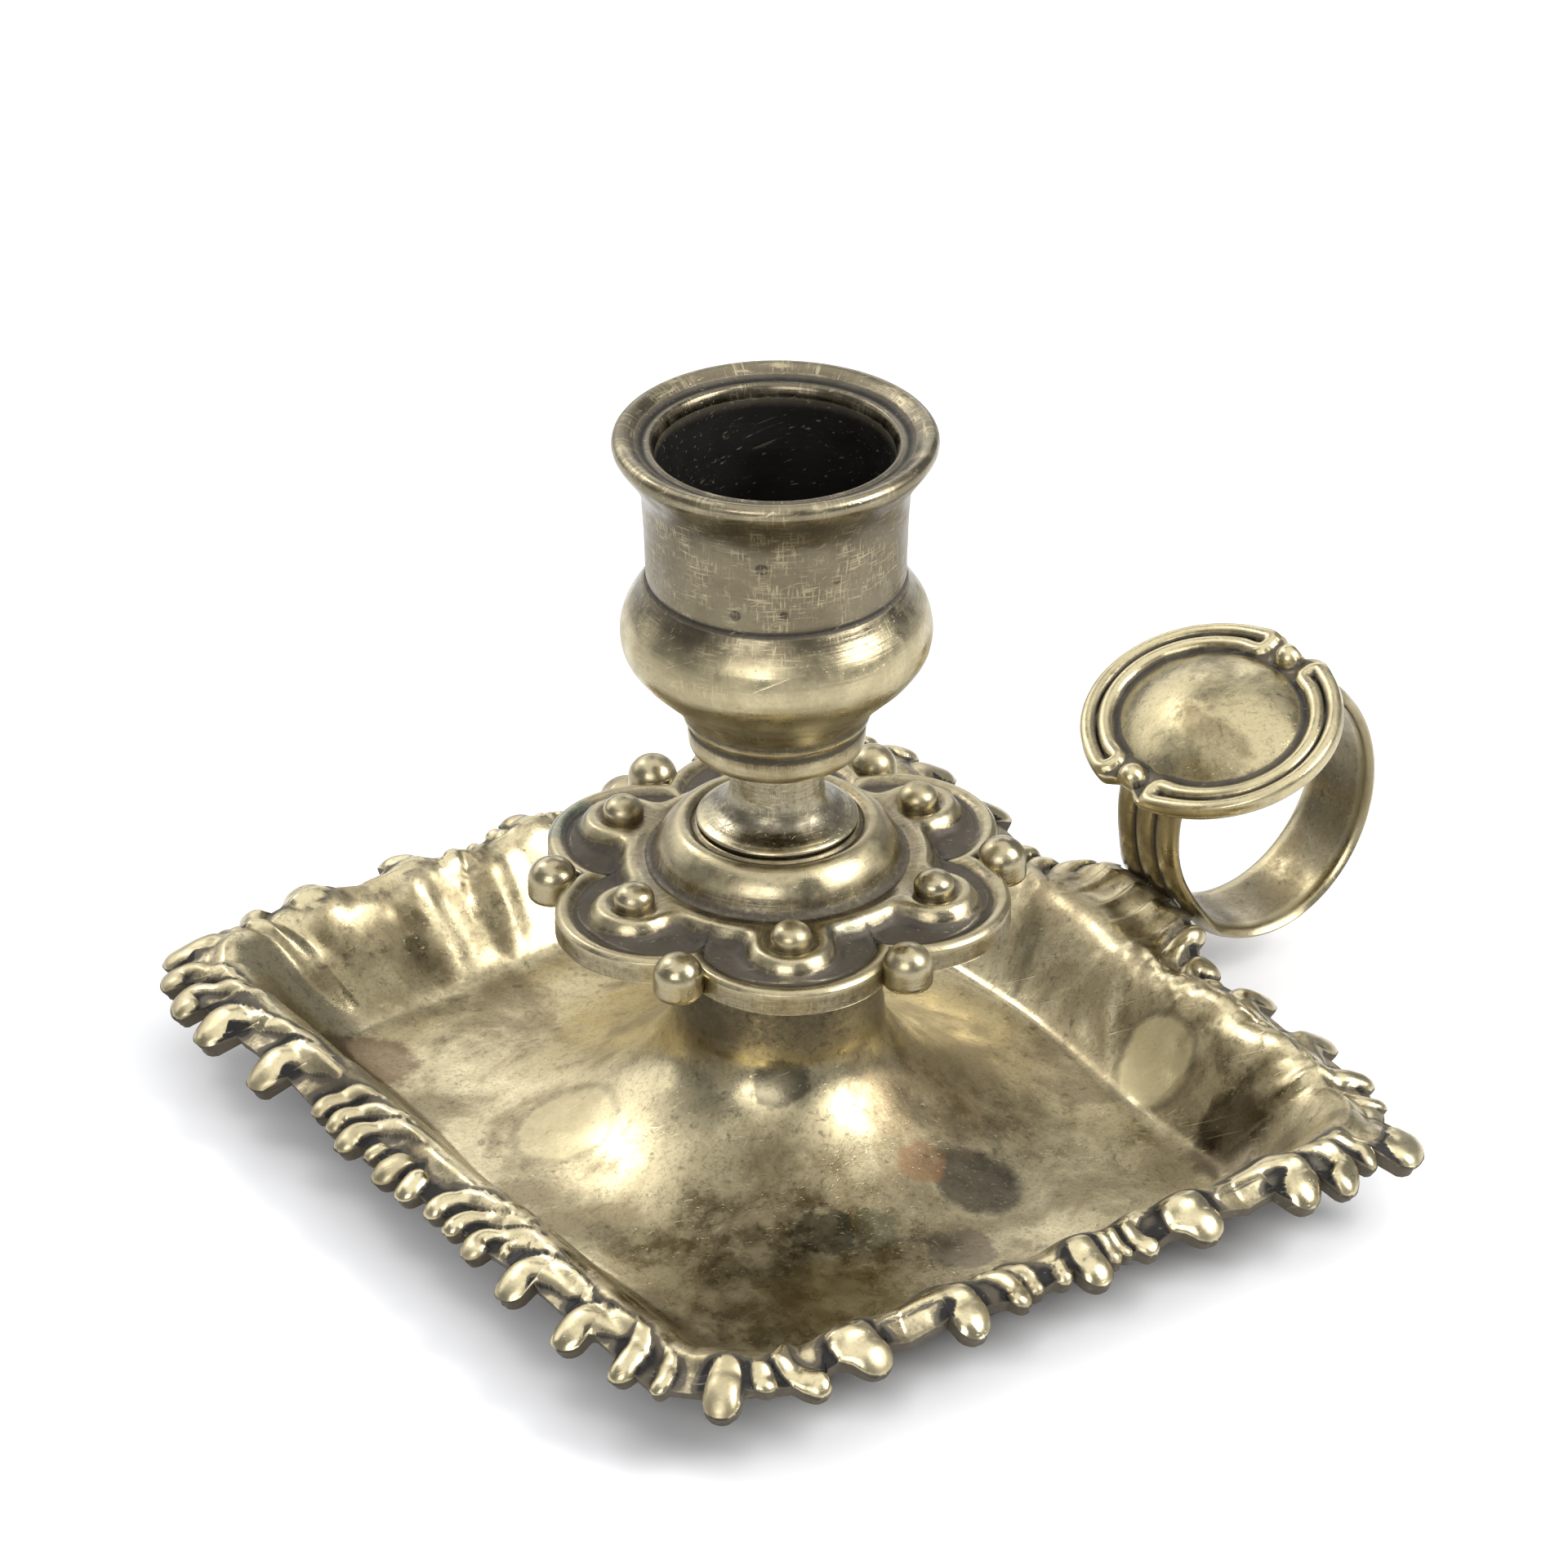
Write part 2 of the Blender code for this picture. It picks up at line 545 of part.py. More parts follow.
def main():
    clear_scene()
    anchor = bpy.data.objects.new("stem_axis", None)
    bpy.context.collection.objects.link(anchor)
    anchor.location = (STEM_X * MM, 0, 0)
    make_tray(anchor)
    make_drip_plate(anchor)
    make_stem_collar(anchor)
    make_candle_socket(anchor)
    make_tie_rod(anchor)
    make_washer(anchor)
    make_nut(anchor)
    make_finger_ring(anchor)
    make_thumb_plate(anchor)


main()
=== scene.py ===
"""Looks of the brass chamberstick: fine meshes for the cast tray, the drip plate,
the turned stem and socket, the strap ring and the thumb plate, in aged brass.

Shapes are worked out in millimetres about the stem's axis, with the table at
z = 0, and are moved and turned into metres as each mesh is made. The stem's
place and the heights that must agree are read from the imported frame.
"""

import math

import bmesh
import bpy
import numpy as np
from mathutils import Matrix, Vector


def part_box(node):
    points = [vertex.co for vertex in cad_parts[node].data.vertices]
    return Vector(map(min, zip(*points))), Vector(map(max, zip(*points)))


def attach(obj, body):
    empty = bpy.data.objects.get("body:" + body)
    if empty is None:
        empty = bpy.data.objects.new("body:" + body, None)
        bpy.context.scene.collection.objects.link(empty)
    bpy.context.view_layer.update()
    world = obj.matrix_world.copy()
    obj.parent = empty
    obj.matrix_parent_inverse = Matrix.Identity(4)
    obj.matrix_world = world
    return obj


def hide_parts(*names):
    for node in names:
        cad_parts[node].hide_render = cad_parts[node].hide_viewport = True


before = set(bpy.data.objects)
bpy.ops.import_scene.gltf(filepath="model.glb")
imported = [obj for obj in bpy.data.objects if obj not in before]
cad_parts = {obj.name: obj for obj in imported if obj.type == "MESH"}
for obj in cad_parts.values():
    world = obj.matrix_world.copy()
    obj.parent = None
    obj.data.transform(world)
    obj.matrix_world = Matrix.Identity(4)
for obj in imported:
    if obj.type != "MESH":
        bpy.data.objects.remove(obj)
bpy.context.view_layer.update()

MM = 0.001
SOCKET_LOW, SOCKET_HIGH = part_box("candle_socket")
STEM_X = (SOCKET_LOW.x + SOCKET_HIGH.x) / 2 / MM
RIM_TOP = SOCKET_HIGH.z / MM
PLATE_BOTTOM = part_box("drip_plate")[0].z / MM
BELL_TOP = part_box("tray")[1].z / MM
HOLE_RADIUS = 2.7
BLUR_REACH = 4           # rows and columns over which a surface is smoothed to find its hollows
STUD_STEP = 0.22         # step along the profiles of the small turned parts

# Tray: half size in X and Y and half length of the straight sides along X and Y
FLOOR_EDGE = (28.8, 36.2, 22.0, 29.4)
CREST = (37.1, 44.9, 28.1, 35.9)
NOTCH_EDGE = (41.6, 47.9, 28.6, 37.0)
FAR_EDGE = (46.2, 52.6, 30.2, 39.4)
LONG_STEPS = 140         # columns of the mesh along a half long side
SHORT_STEPS = 108        # along a half short side
CORNER_STEPS = 76        # and round a corner
COARSE = 4               # border columns for each column of the floor and bell
# Shares of the way from the floor's edge to the crest at which the wall has a row
WALL_RISE = np.concatenate([[0.0, 0.05, 0.10], np.linspace(0.16, 1, 15)])[:, None]
FLOOR_HEIGHT = 1.5
CREST_HEIGHT = 9.7
BORDER_SINK = 1.1        # the border's ground lies this far below the crest
BORDER_FALL = 0.022      # and falls by this much times the square of the distance
BORDER_THICKNESS = 1.15  # of wall and border
BORDER_ROWS = 24
EAR_OUT = 1.1            # how far the crest swells out and up beside the broad tips
EAR_RISE = 1.3
BROAD_TIP = 1.5          # half width from which a rib's tip has an ear of its own
TIP_LENGTH = 3.0         # run over which a rib narrows from its bead to its arm
BELL = [(10.1, 14.3), (10.2, 13.1), (10.9, 11.3), (11.7, 10.0), (12.9, 8.7), (14.5, 7.35), (16.6, 5.9),
        (19.2, 4.4), (22.4, 3.0), (25.6, 2.0), (28.8, 1.5)]
BELL_THICKNESS = 1.5
TONGUE = (13.0, 3.0, 2.4)   # half width, reach and rise of the border under the ring
CLEAN_BAND = 2.2         # strip outside the crest of the +X and +Y sides with little grime
LEDGE_GRIME = 0.05       # depth of carving given to the border's plain ground
UNDERSIDE_DARKENING = 0.12       # and to the underside, which this darkens

# Ribs of the border. Each one is a bar along a curve: points (distance along the
# side, distance out from the crest), then its half width at the tip and at the far
# end, and its height at the tip and at the far end.
LONG_SIDE_RIBS = [
    ([(-5, 5.5), (-4.6, 3.9), (-5.2, 2.2), (-6.8, 1.3), (-9.5, 0.6), (-12.5, -0.3), (-16, -1.2)],
     1.21, 0.8, 1.08, 0.42),
    ([(-8.7, 5.5), (-7.9, 4.5), (-8.2, 3), (-9.6, 2), (-11.8, 1.1), (-14.8, 0.3), (-18.4, -0.5)],
     1.12, 0.72, 1, 0.42),
    ([(-13, 5.7), (-11.5, 4.6), (-11.8, 3), (-13.8, 2), (-16.6, 1.2), (-20, 0.5), (-24, -0.2)],
     1.26, 0.72, 1.04, 0.42),
    ([(-15.6, 4), (-14.6, 3.1), (-15.4, 2.3), (-18, 1.7), (-22, 1.1)], 0.58, 0.54, 0.44, 0.34),
    ([(-20.9, 6.1), (-19.3, 5.4), (-19.5, 4), (-20.9, 2.9), (-23.4, 2.3), (-26.4, 2.3), (-28.4, 3)],
     1.75, 1.23, 1.28, 0.77),
    ([(-30.2, 6.3), (-28.9, 5.5), (-29, 4.2), (-30.9, 2.9), (-33.4, 2), (-36, 1.6)],
     1.84, 1.16, 1.28, 0.55),
    ([(-36.6, 6), (-36.2, 4.3), (-35.4, 2.4), (-33, 0.8)], 1.26, 1.01, 1, 0.59),
    ([(-40.8, 4.2), (-39.8, 2.4), (-37.5, 0.7)], 0.97, 0.87, 0.64, 0.51),
    ([(3.4, 6.3), (3.1, 4.8), (2.6, 3)], 1.5, 1.4, 1.12, 0.55),
    ([(-0.6, 6), (-0.4, 4.6), (0.3, 3)], 1.31, 1.22, 0.96, 0.55),
    ([(6.3, 5.3), (6.5, 4.3), (5.9, 3.3)], 0.78, 0.72, 0.64, 0.68),
    ([(9.3, 6), (10.3, 4.1), (8.9, 1.9), (5.6, 0.7), (1.5, 0)], 1.31, 0.8, 1.08, 0.42),
    ([(12.1, 5.2), (13.3, 3.8), (12.5, 2.1), (9.9, 0.5), (6.5, -0.6)], 1.07, 0.8, 0.92, 0.42),
    ([(15.3, 5.1), (16, 3.6), (14.9, 0.9), (12.5, -0.8)], 1.07, 0.87, 0.88, 0.51),
    ([(22.8, 6.4), (24.2, 5.2), (23.8, 3.2), (21.3, 1.8), (18, 1)], 1.84, 1.3, 1.28, 0.68),
    ([(32.3, 6.2), (34, 5.5), (33.9, 4), (31, 2.2), (26, 1), (20.2, 0.3)], 1.75, 0.72, 1.24, 0.51),
    ([(38, 5.8), (40.2, 5), (40.4, 3.6), (38.4, 2), (35, 0.8), (31, 0.2)], 1.31, 0.72, 1, 0.42),
    ([(42.9, 4.4), (44.9, 3.4), (43.6, 1.9), (39.4, 0.6), (35, -0.3)], 1.16, 0.72, 0.8, 0.42),
]
SHORT_SIDE_RIBS = [
    ([(-33.6, 2.3), (-33.2, 0.7)], 1.26, 1.17, 0.64, 0.68),
    ([(-28.6, 4.7), (-29.9, 2.6), (-30.8, 0.6), (-29.5, -1.5)], 1.26, 1.01, 1, 0.59),
    ([(-22.6, 5), (-23.6, 2.8), (-25.6, 0.8)], 2.13, 1.98, 1.28, 0.77),
    ([(-13.6, 5), (-11.9, 3.4), (-11.7, 2.1), (-13.4, 0.8), (-16.8, 0.2), (-20.4, 0.8), (-21.6, 2.2)],
     1.7, 0.8, 1.2, 0.55),
    ([(-6.8, 3.8), (-6, 2), (-7.3, 0.6), (-10.4, -0.2)], 1.12, 0.8, 0.88, 0.68),
    ([(-4.3, 3.3), (-4.4, 1.3), (-6.2, -0.1), (-10, -0.7)], 0.78, 0.72, 0.72, 0.51),
    ([(1.2, 5.2), (1.6, 3.1), (1.4, 1)], 1.7, 1.57, 1.16, 0.66),
    ([(-1.7, 3.7), (-1.2, 2)], 0.92, 0.85, 0.76, 0.66),
    ([(4, 3.8), (4.2, 2), (3.8, 0.6)], 0.82, 0.77, 0.72, 0.68),
    ([(6, 3.4), (5.3, 1.6), (5.8, 0.2)], 0.73, 0.68, 0.64, 0.51),
    ([(8.8, 3.8), (7.5, 1.7), (7.9, 0.1), (10.7, -0.5)], 1.07, 0.8, 0.88, 0.59),
    ([(14.7, 5), (13.5, 2.7), (11.5, 1)], 2.04, 1.89, 1.28, 0.77),
    ([(24, 5.1), (26, 3.1), (25.9, 1.7), (23.4, 0.7), (19.2, 0.6), (17, 1.7)], 1.75, 0.8, 1.24, 0.55),
    ([(28.8, 5.3), (30.9, 3.2), (30.5, 1.3), (28.2, 0.2), (25.5, -0.2)], 1.36, 0.87, 1.08, 0.68),
    ([(33.2, 3.9), (33.8, 2.3), (32.5, 0.8), (29.6, -0.5)], 0.87, 0.72, 0.72, 0.51),
]
# Beads at the corners, given as the ribs are, but with points in plan.
CORNER_BEADS = [
    ([(-38.6, -46.9), (-37, -45.2), (-35.4, -43.4)], 1.75, 1.59, 1.36, 0.77),
    ([(36.6, -49), (39, -47), (38.9, -44.8)], 1.75, 1.59, 1.28, 0.66),
    ([(-39.6, 46.6), (-37.2, 47), (-34, 44.6)], 1.84, 1.71, 1.28, 0.88),
    ([(38.6, 46.9), (37, 45.2), (35.4, 43.4)], 1.75, 1.59, 1.36, 0.77),
]
# Soft folds down the wall, given as the ribs are; a groove has a height below zero.
LONG_SIDE_FOLDS = [
    ([(-9.5, 0.5), (-13, -2.5), (-19, -5)], 1.8, 2.4, 0.5, 0.3),
    ([(-12.5, 0), (-17, -3.2), (-23, -5.6)], 1.6, 2.2, 0.4, 0.25),
    ([(-6, 0.5), (-8.5, -3), (-13, -6.2)], 1.8, 2.4, 0.4, 0.3),
    ([(-34.8, 1), (-33.5, -2.5), (-29, -4.5)], 1, 1.6, 0.4, 0.2),
    ([(9, 0.5), (7, -3), (4, -6)], 1.8, 2.4, 0.4, 0.3),
    ([(20, 0.5), (18, -4), (17, -7)], 3, 3.6, 0.5, 0.4),
    ([(35, 0.3), (31, -2.5), (26, -4.5)], 1.6, 2.2, 0.4, 0.25),
]
SHORT_SIDE_FOLDS = [
    ([(-30.2, 0.3), (-28, -3), (-26, -6.5)], 1.3, 1.8, 0.6, 0.3),
    ([(-14.5, 0), (-13.5, -4), (-12.5, -7.6)], 3, 4, 0.75, 0.6),
    ([(-6.6, 0.3), (-8.6, -3.6)], 0.7, 1.2, -0.5, -0.2),
    ([(-4.5, 0), (-5, -4), (-5.5, -7.5)], 2.4, 3, 0.6, 0.4),
    ([(8, 0), (10, -4), (11, -7)], 2.4, 3.2, 0.5, 0.4),
    ([(25, 0.3), (21, -3.5), (19, -7)], 2.4, 3.4, 0.5, 0.4),
]

# Drip plate
LOBES = 6
LOBE_CENTRE = 13.1       # from the axis to the centre of each lobe's arc
LOBE_RADIUS = 10.0
BEAD_CIRCLE = 16.2       # beads stand on the lobes and balls in the notches
BEAD_RADIUS = 1.95
BALL_CIRCLE = 21.2
BALL_RADIUS = 2.35
ROSETTE_RADIUS = 14.0
ROSETTE_ROWS = 40
BOSS_FOOT = 12.6
ROSETTE_EAR = 3.3        # radius of the rosette's top round each bead
ROSETTE_BLEND = 2.2      # width over which disc and ears join
# Slope of the rosette: (distance outside its outline, height)
OGEE = [(-3.0, 30.35), (-1.2, 30.45), (-0.5, 30.62), (0.0, 30.6), (0.3, 30.42), (0.65, 29.95), (1.0, 29.4),
        (1.35, 29.05), (1.8, 28.85), (2.4, 28.72), (3.2, 28.66)]

# Finger ring and thumb plate
RING_CENTRE = (55.9, 18.4)
RING_RADII = (12.1, 13.6)
STRAP_THICKNESS = 1.45
STRAP_HALF_WIDTH = 4.75
STRAP_FLARE = 1.9
FLARE_ANGLE = 219.0      # where on the ring the strap is widest, and over what angle
FLARE_SPREAD = 17.0
THUMB_CENTRE = (50.9, 28.9)
THUMB_TILT = 20.6
THUMB_RADII = (12.3, 14.6)
THUMB_NOTCH = 1.2        # how far the outline is cut in at both ends of the X axis
DOME_RADII = (8.5, 10.5)
DOME_RISE = 3.1
END_BEAD_RADIUS = 1.45


# ---------------------------------------------------------------- shape helpers

def smooth_curve(points, steps):
    """Catmull-Rom curve through the points, with steps pieces to each span."""
    pts = np.asarray(points, float)
    pts = np.concatenate([2 * pts[:1] - pts[1:2], pts, 2 * pts[-1:] - pts[-2:-1]])
    a, b, c, d = pts[:-3], pts[1:-2], pts[2:-1], pts[3:]
    t = (np.arange(steps) / steps).reshape(-1, *[1] * pts.ndim)
    bend = (2 * a - 5 * b + 4 * c - d) * t ** 2 + (3 * b - a - 3 * c + d) * t ** 3
    curve = 0.5 * (2 * b + (c - a) * t + bend)
    curve = np.moveaxis(curve, 0, 1).reshape(-1, *pts.shape[1:])
    return np.concatenate([curve, pts[-2:-1]])


def even_steps(curve, step):
    """The same curve with points at even distances of about one step."""
    curve = np.asarray(curve, float)
    run = np.concatenate([[0], np.cumsum(np.linalg.norm(np.diff(curve, axis=0), axis=1))])
    at = np.linspace(0, run[-1], max(2, round(run[-1] / step)) + 1)
    return np.stack([np.interp(at, run, curve[:, k]) for k in range(curve.shape[1])], 1)


def ring_faces(rows, columns, close=False):
    """Quads between rows of points that each run round and meet themselves."""
    row = np.arange(rows if close else rows - 1)[:, None]
    column = np.arange(columns)[None]
    beside = (column + 1) % columns
    above = (row + 1) % rows
    here, next_row = row * columns, above * columns
    return np.stack([here + column, here + beside, next_row + beside, next_row + column], -1).reshape(-1, 4)


def box_mean(grid, columns, rows, close=False):
    """Average over the points within so many columns and rows of each point. The
    columns run round; the rows do too if close, or else the end rows repeat."""
    mean = sum(np.roll(grid, k, 1) for k in range(-columns, columns + 1)) / (2 * columns + 1)
    if close:
        return sum(np.roll(mean, k, 0) for k in range(-rows, rows + 1)) / (2 * rows + 1)
    padded = np.concatenate([mean[:1]] * rows + [mean] + [mean[-1:]] * rows)
    return sum(padded[k:k + len(mean)] for k in range(2 * rows + 1)) / (2 * rows + 1)


def carving(grid, close=False):
    """Depth of each point of a surface below the average of the surface round it,
    in mm: above zero in hollows, below zero on edges. Rows run out, columns round."""
    mean = box_mean(grid, BLUR_REACH, BLUR_REACH, close)
    along = np.roll(grid, -1, 1) - np.roll(grid, 1, 1)
    across = np.gradient(grid, axis=0)
    normal = np.cross(along, across)
    normal /= np.maximum(np.linalg.norm(normal, axis=2, keepdims=True), 1e-9)
    return ((mean - grid) * normal).sum(2)


def add_piece(name, points, faces, depth, body, nodes, material, slot):
    """One mesh object from points in millimetres about the stem's axis. The
    depth of carving at each point goes into the attribute that the finish reads."""
    mesh = bpy.data.meshes.new(name)
    place = (np.asarray(points, float) + np.array([STEM_X, 0, 0])) * MM
    mesh.from_pydata(place.tolist(), [], faces)
    layer = mesh.attributes.new("carving", "FLOAT", "POINT")
    layer.data.foreach_set("value", np.asarray(depth, np.float32))
    work = bmesh.new()
    work.from_mesh(mesh)
    bmesh.ops.recalc_face_normals(work, faces=work.faces)
    work.to_mesh(mesh)
    work.free()
    mesh.shade_smooth()
    mesh.set_sharp_from_angle(angle=math.radians(55))
    mesh.materials.append(material)
    piece = bpy.data.objects.new(name, mesh)
    bpy.context.scene.collection.objects.link(piece)
    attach(piece, body)
    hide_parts(*nodes)
    return piece


def revolved(profile, sides):
    """Grid of a (radius, height) profile carried round the axis."""
    angle = np.arange(sides) * 2 * math.pi / sides
    r, z = profile[:, :1], profile[:, 1:]
    return np.stack([r * np.cos(angle), r * np.sin(angle), z + 0 * angle], 2)


def turned(profile, sides):
    """Surface of revolution of a profile that starts and ends on the axis, where
    each end closes in a pole."""
    profile = np.asarray(profile, float)
    grid = revolved(profile[1:-1], sides)
    points = np.concatenate([grid.reshape(-1, 3), [[0, 0, profile[0][1]], [0, 0, profile[-1][1]]]])
    column = np.arange(sides)
    beside = (column + 1) % sides
    last = (len(grid) - 1) * sides
    start, end = len(points) - 2, len(points) - 1
    faces = ring_faces(len(grid), sides).tolist()
    faces += np.stack([beside, column, np.full(sides, start)], 1).tolist()
    faces += np.stack([last + column, last + beside, np.full(sides, end)], 1).tolist()
    return points, faces, np.concatenate([carving(grid).ravel(), [0, 0]])


def turned_loop(profile, sides):
    """Surface of revolution of a profile that closes on itself, with a hole."""
    grid = revolved(np.asarray(profile, float), sides)
    return grid.reshape(-1, 3), ring_faces(len(grid), sides, True).tolist(), carving(grid, True).ravel()


# ------------------------------------------------------------------------ tray

def outline(ring):
    """Plan points of one ring of the tray, anticlockwise from the middle of the
    +X side: straight runs joined by quarter ellipses."""
    half_x, half_y, run_x, run_y = ring
    along = np.arange(LONG_STEPS) / LONG_STEPS
    turn = np.arange(CORNER_STEPS) / CORNER_STEPS * math.pi / 2
    back = 1 - np.arange(SHORT_STEPS) / SHORT_STEPS
    x = np.concatenate([0 * along + half_x, run_x + (half_x - run_x) * np.cos(turn), back * run_x])
    y = np.concatenate([along * run_y, run_y + (half_y - run_y) * np.sin(turn), 0 * back + half_y])
    quarter = np.stack([x, y], 1)
    returning = np.concatenate([[[0, half_y]], quarter[:0:-1]])
    return np.concatenate([quarter, returning * [-1, 1], -quarter, returning * [1, -1]])


def bars(pattern_long, pattern_short, corners=()):
    """Every rib as a plan curve with its half widths and heights. The pattern of
    the -X side is mirrored to +X, and that of the -Y side to +Y."""
    made = []
    for pattern, across in ((pattern_long, 0), (pattern_short, 1)):
        for points, *size in pattern:
            along, out = np.array(points, float).T
            for side in (-1, 1):
                plan = [along, along]
                plan[across] = side * (CREST[across] + out)
                made.append((np.stack(plan, 1), *size))
    made += [(np.array(points, float), *size) for points, *size in corners]
    return [(trimmed(smooth_curve(curve, 6), size[0] * 0.85), *size) for curve, *size in made]


def trimmed(curve, length):
    """The curve in even steps, without its first length of run."""
    step = 0.35
    fine = even_steps(curve, step)
    return fine[max(0, min(len(fine) - 3, round(length / step))):]


def bar_height(plan, made, power):
    """Height that the bars add at plan points, and how far inside the nearest
    bar's outline each point lies. Across a bar the height is its middle height
    times (1 - (distance / half width) squared) to the given power."""
    height = np.zeros(len(plan))
    inside = np.full(len(plan), -9.0)
    for curve, tip_width, end_width, tip_height, end_height in made:
        reach = max(tip_width, end_width)
        near = np.all((plan > curve.min(0) - reach) & (plan < curve.max(0) + reach), 1)
        start, step = curve[:-1], np.diff(curve, axis=0)
        offset = plan[near][:, None] - start
        share = np.clip((offset * step).sum(2) / (step ** 2).sum(1), 0, 1)
        distance = np.linalg.norm(offset - share[..., None] * step, axis=2)
        length = np.linalg.norm(step, axis=1).sum()
        run = (np.arange(len(step)) + share) / len(step)
        tip = np.exp(-(run * length / TIP_LENGTH) ** 2)
        fade = 1 - 0.65 * smoothstep(0.55, 1.0, run) * (tip_width != end_width)
        width = (end_width + (tip_width - end_width) * tip) * fade
        middle = (end_height + (tip_height - end_height) * tip) * fade
        raised = middle * np.clip(1 - (distance / width) ** 2, 0, 1) ** power
        best = np.abs(raised).argmax(1)
        raised = raised[np.arange(len(raised)), best]
        taller = np.abs(raised) > np.abs(height[near])
        height[near] = np.where(taller, raised, height[near])
        inside[near] = np.maximum(inside[near], (width - distance).max(1))
    return height, inside


def smoothstep(low, high, value):
    """Smooth rise from 0 at low to 1 at high."""
    t = np.clip((value - low) / (high - low), 0, 1)
    return t * t * (3 - 2 * t)


def border_reach(crest, far, notch, ribs):
    """Share of the way from the crest to the far ring at which the border ends:
    at the notch ring, or further out where a rib carries it."""
    shares = np.linspace(0.3, 1.0, 57)
    plan = crest + (far - crest) * shares[:, None, None]
    inside = bar_height(plan.reshape(-1, 2), ribs, 0.5)[1].reshape(len(shares), -1)
    covered = inside > 0
    last = len(shares) - 1 - covered[::-1].argmax(0)
    column = np.arange(inside.shape[1])
    after = np.minimum(last + 1, len(shares) - 1)
    here, there = inside[last, column], inside[after, column]
    part = np.where(after > last, here / np.maximum(here - there, 1e-6), 0)
    reach = shares[last] + part * (shares[1] - shares[0])
    plain = np.linalg.norm(notch - crest, axis=1) / np.linalg.norm(far - crest, axis=1)
    return np.maximum(np.where(covered.any(0), reach, 0), plain)


def floor_edge_ring():
    """Crease between floor and wall, waved a little as the casting is."""
    ring = outline(FLOOR_EDGE)
    wave_x = 0.8 * np.cos(ring[:, 1] * 2 * math.pi / 46) * smoothstep(20, 28, np.abs(ring[:, 0]))
    wave_y = 0.7 * np.cos(ring[:, 0] * 2 * math.pi / 38) * smoothstep(28, 36, np.abs(ring[:, 1]))
    return ring + np.stack([np.sign(ring[:, 0]) * wave_x, np.sign(ring[:, 1]) * wave_y], 1)


def tray_top():
    """Wall and border from the floor's edge to the border's tips: the points as
    rows x columns, the ground under the ribs, and the depth of carving. The wall
    rises as a quarter sine to the power 1.5. The border's ground drops behind the
    crest and then falls with the square of the distance. Ribs and folds stand on
    both."""
    edge, crest, far, notch = floor_edge_ring(), outline(CREST), outline(FAR_EDGE), outline(NOTCH_EDGE)
    ribs = bars(LONG_SIDE_RIBS, SHORT_SIDE_RIBS, CORNER_BEADS)
    swell = ear_swell(crest, ribs)
    outward = (far - crest) / np.linalg.norm(far - crest, axis=1, keepdims=True)
    crest = crest + EAR_OUT * swell[:, None] * outward
    folds = bars(LONG_SIDE_FOLDS, SHORT_SIDE_FOLDS)
    reach = border_reach(crest, far, notch, ribs)
    wall_plan = edge + (crest - edge) * WALL_RISE[..., None]
    wall = FLOOR_HEIGHT + (CREST_HEIGHT - FLOOR_HEIGHT) * np.sin(WALL_RISE * math.pi / 2) ** 1.5 + 0 * reach
    out = (1 - (1 - np.linspace(0, 1, BORDER_ROWS + 1)[1:]) ** 1.35)[:, None] * reach
    border_plan = crest + (far - crest) * out[..., None]
    beyond = np.linalg.norm(border_plan - crest, axis=2)
    ground = CREST_HEIGHT - BORDER_SINK * smoothstep(0, 2.0, beyond) - BORDER_FALL * beyond ** 2
    plan = np.concatenate([wall_plan, border_plan])
    ground = ground + EAR_RISE * swell * (1 - smoothstep(2.0, 6.0, beyond))
    wall = wall + EAR_RISE * swell * smoothstep(0.35, 1.0, WALL_RISE)
    height = np.concatenate([wall, ground])
    flat = plan.reshape(-1, 2)
    raised = bar_height(flat, ribs, 0.5)[0].reshape(height.shape)
    raised *= np.where(plan[..., 0] > 0, smoothstep(5.5, 8.5, np.abs(plan[..., 1])), 1.0)
    height += np.maximum(raised, bar_height(flat, ear_roots(ribs), 1.3)[0].reshape(height.shape))
    height += bar_height(flat, folds, 2.0)[0].reshape(height.shape)
    clean = np.where((plan[..., 0] > CREST[0] - 4) | (plan[..., 1] > CREST[1] - 4), CLEAN_BAND, 0.0)
    recess = smoothstep(0.5, 1.8, np.concatenate([0 * wall - 1, beyond]) - clean)
    depth = relief_depth(raised) + LEDGE_GRIME * recess * (1 - raised / 0.35).clip(-1, 1)
    depth = np.where((clean > 0) & (recess < 0.5), 0.3, 1.0) * depth
    return np.concatenate([plan, height[..., None]], 2), np.concatenate([wall, ground]), depth


def ear_roots(ribs):
    """Broad soft bars from the tip of every broad rib inwards over the crest."""
    roots = []
    for curve, tip_width, *_ in ribs:
        if tip_width > BROAD_TIP:
            tip = curve[0]
            inward = np.where(np.abs(tip) > [CREST[0] - 1, CREST[1] - 1], -np.sign(tip), 0)
            roots.append((even_steps([tip, tip + 6.5 * inward], 0.5), 2.2, 3.4, 1.15, 0.45))
    return roots


def ear_swell(crest, ribs):
    """Swelling of the crest beside the tips of the broad ribs, 0 to 1."""
    swell = np.zeros(len(crest))
    for curve, tip_width, *_ in ribs:
        apart = np.linalg.norm(crest - curve[0], axis=1)
        near = np.exp(-((apart - apart.min()) / 1.5) ** 2 / (1 + apart.min()))
        swell = np.maximum(swell, near * smoothstep(0.9, 2.0, tip_width))
    return swell


def relief_depth(raised):
    """Depth of each point below the average height of the relief round it."""
    return box_mean(raised, 6, 2) - raised


def draw_tongue(grid, first_row):
    """Draw the middle of the +X border out and up towards the finger ring. Both
    grow across the border and fade smoothly along it."""
    half_width, out, up = TONGUE
    swell = 1 - smoothstep(0.4 * half_width, half_width, np.abs(grid[..., 1]))
    swell = swell * (grid[..., 0] > 0)
    share = np.clip((np.arange(len(grid)) - first_row + 4) / 16, 0, 1)[:, None] ** 1.5
    grid[..., 0] += out * swell * share
    grid[..., 2] += up * swell * share


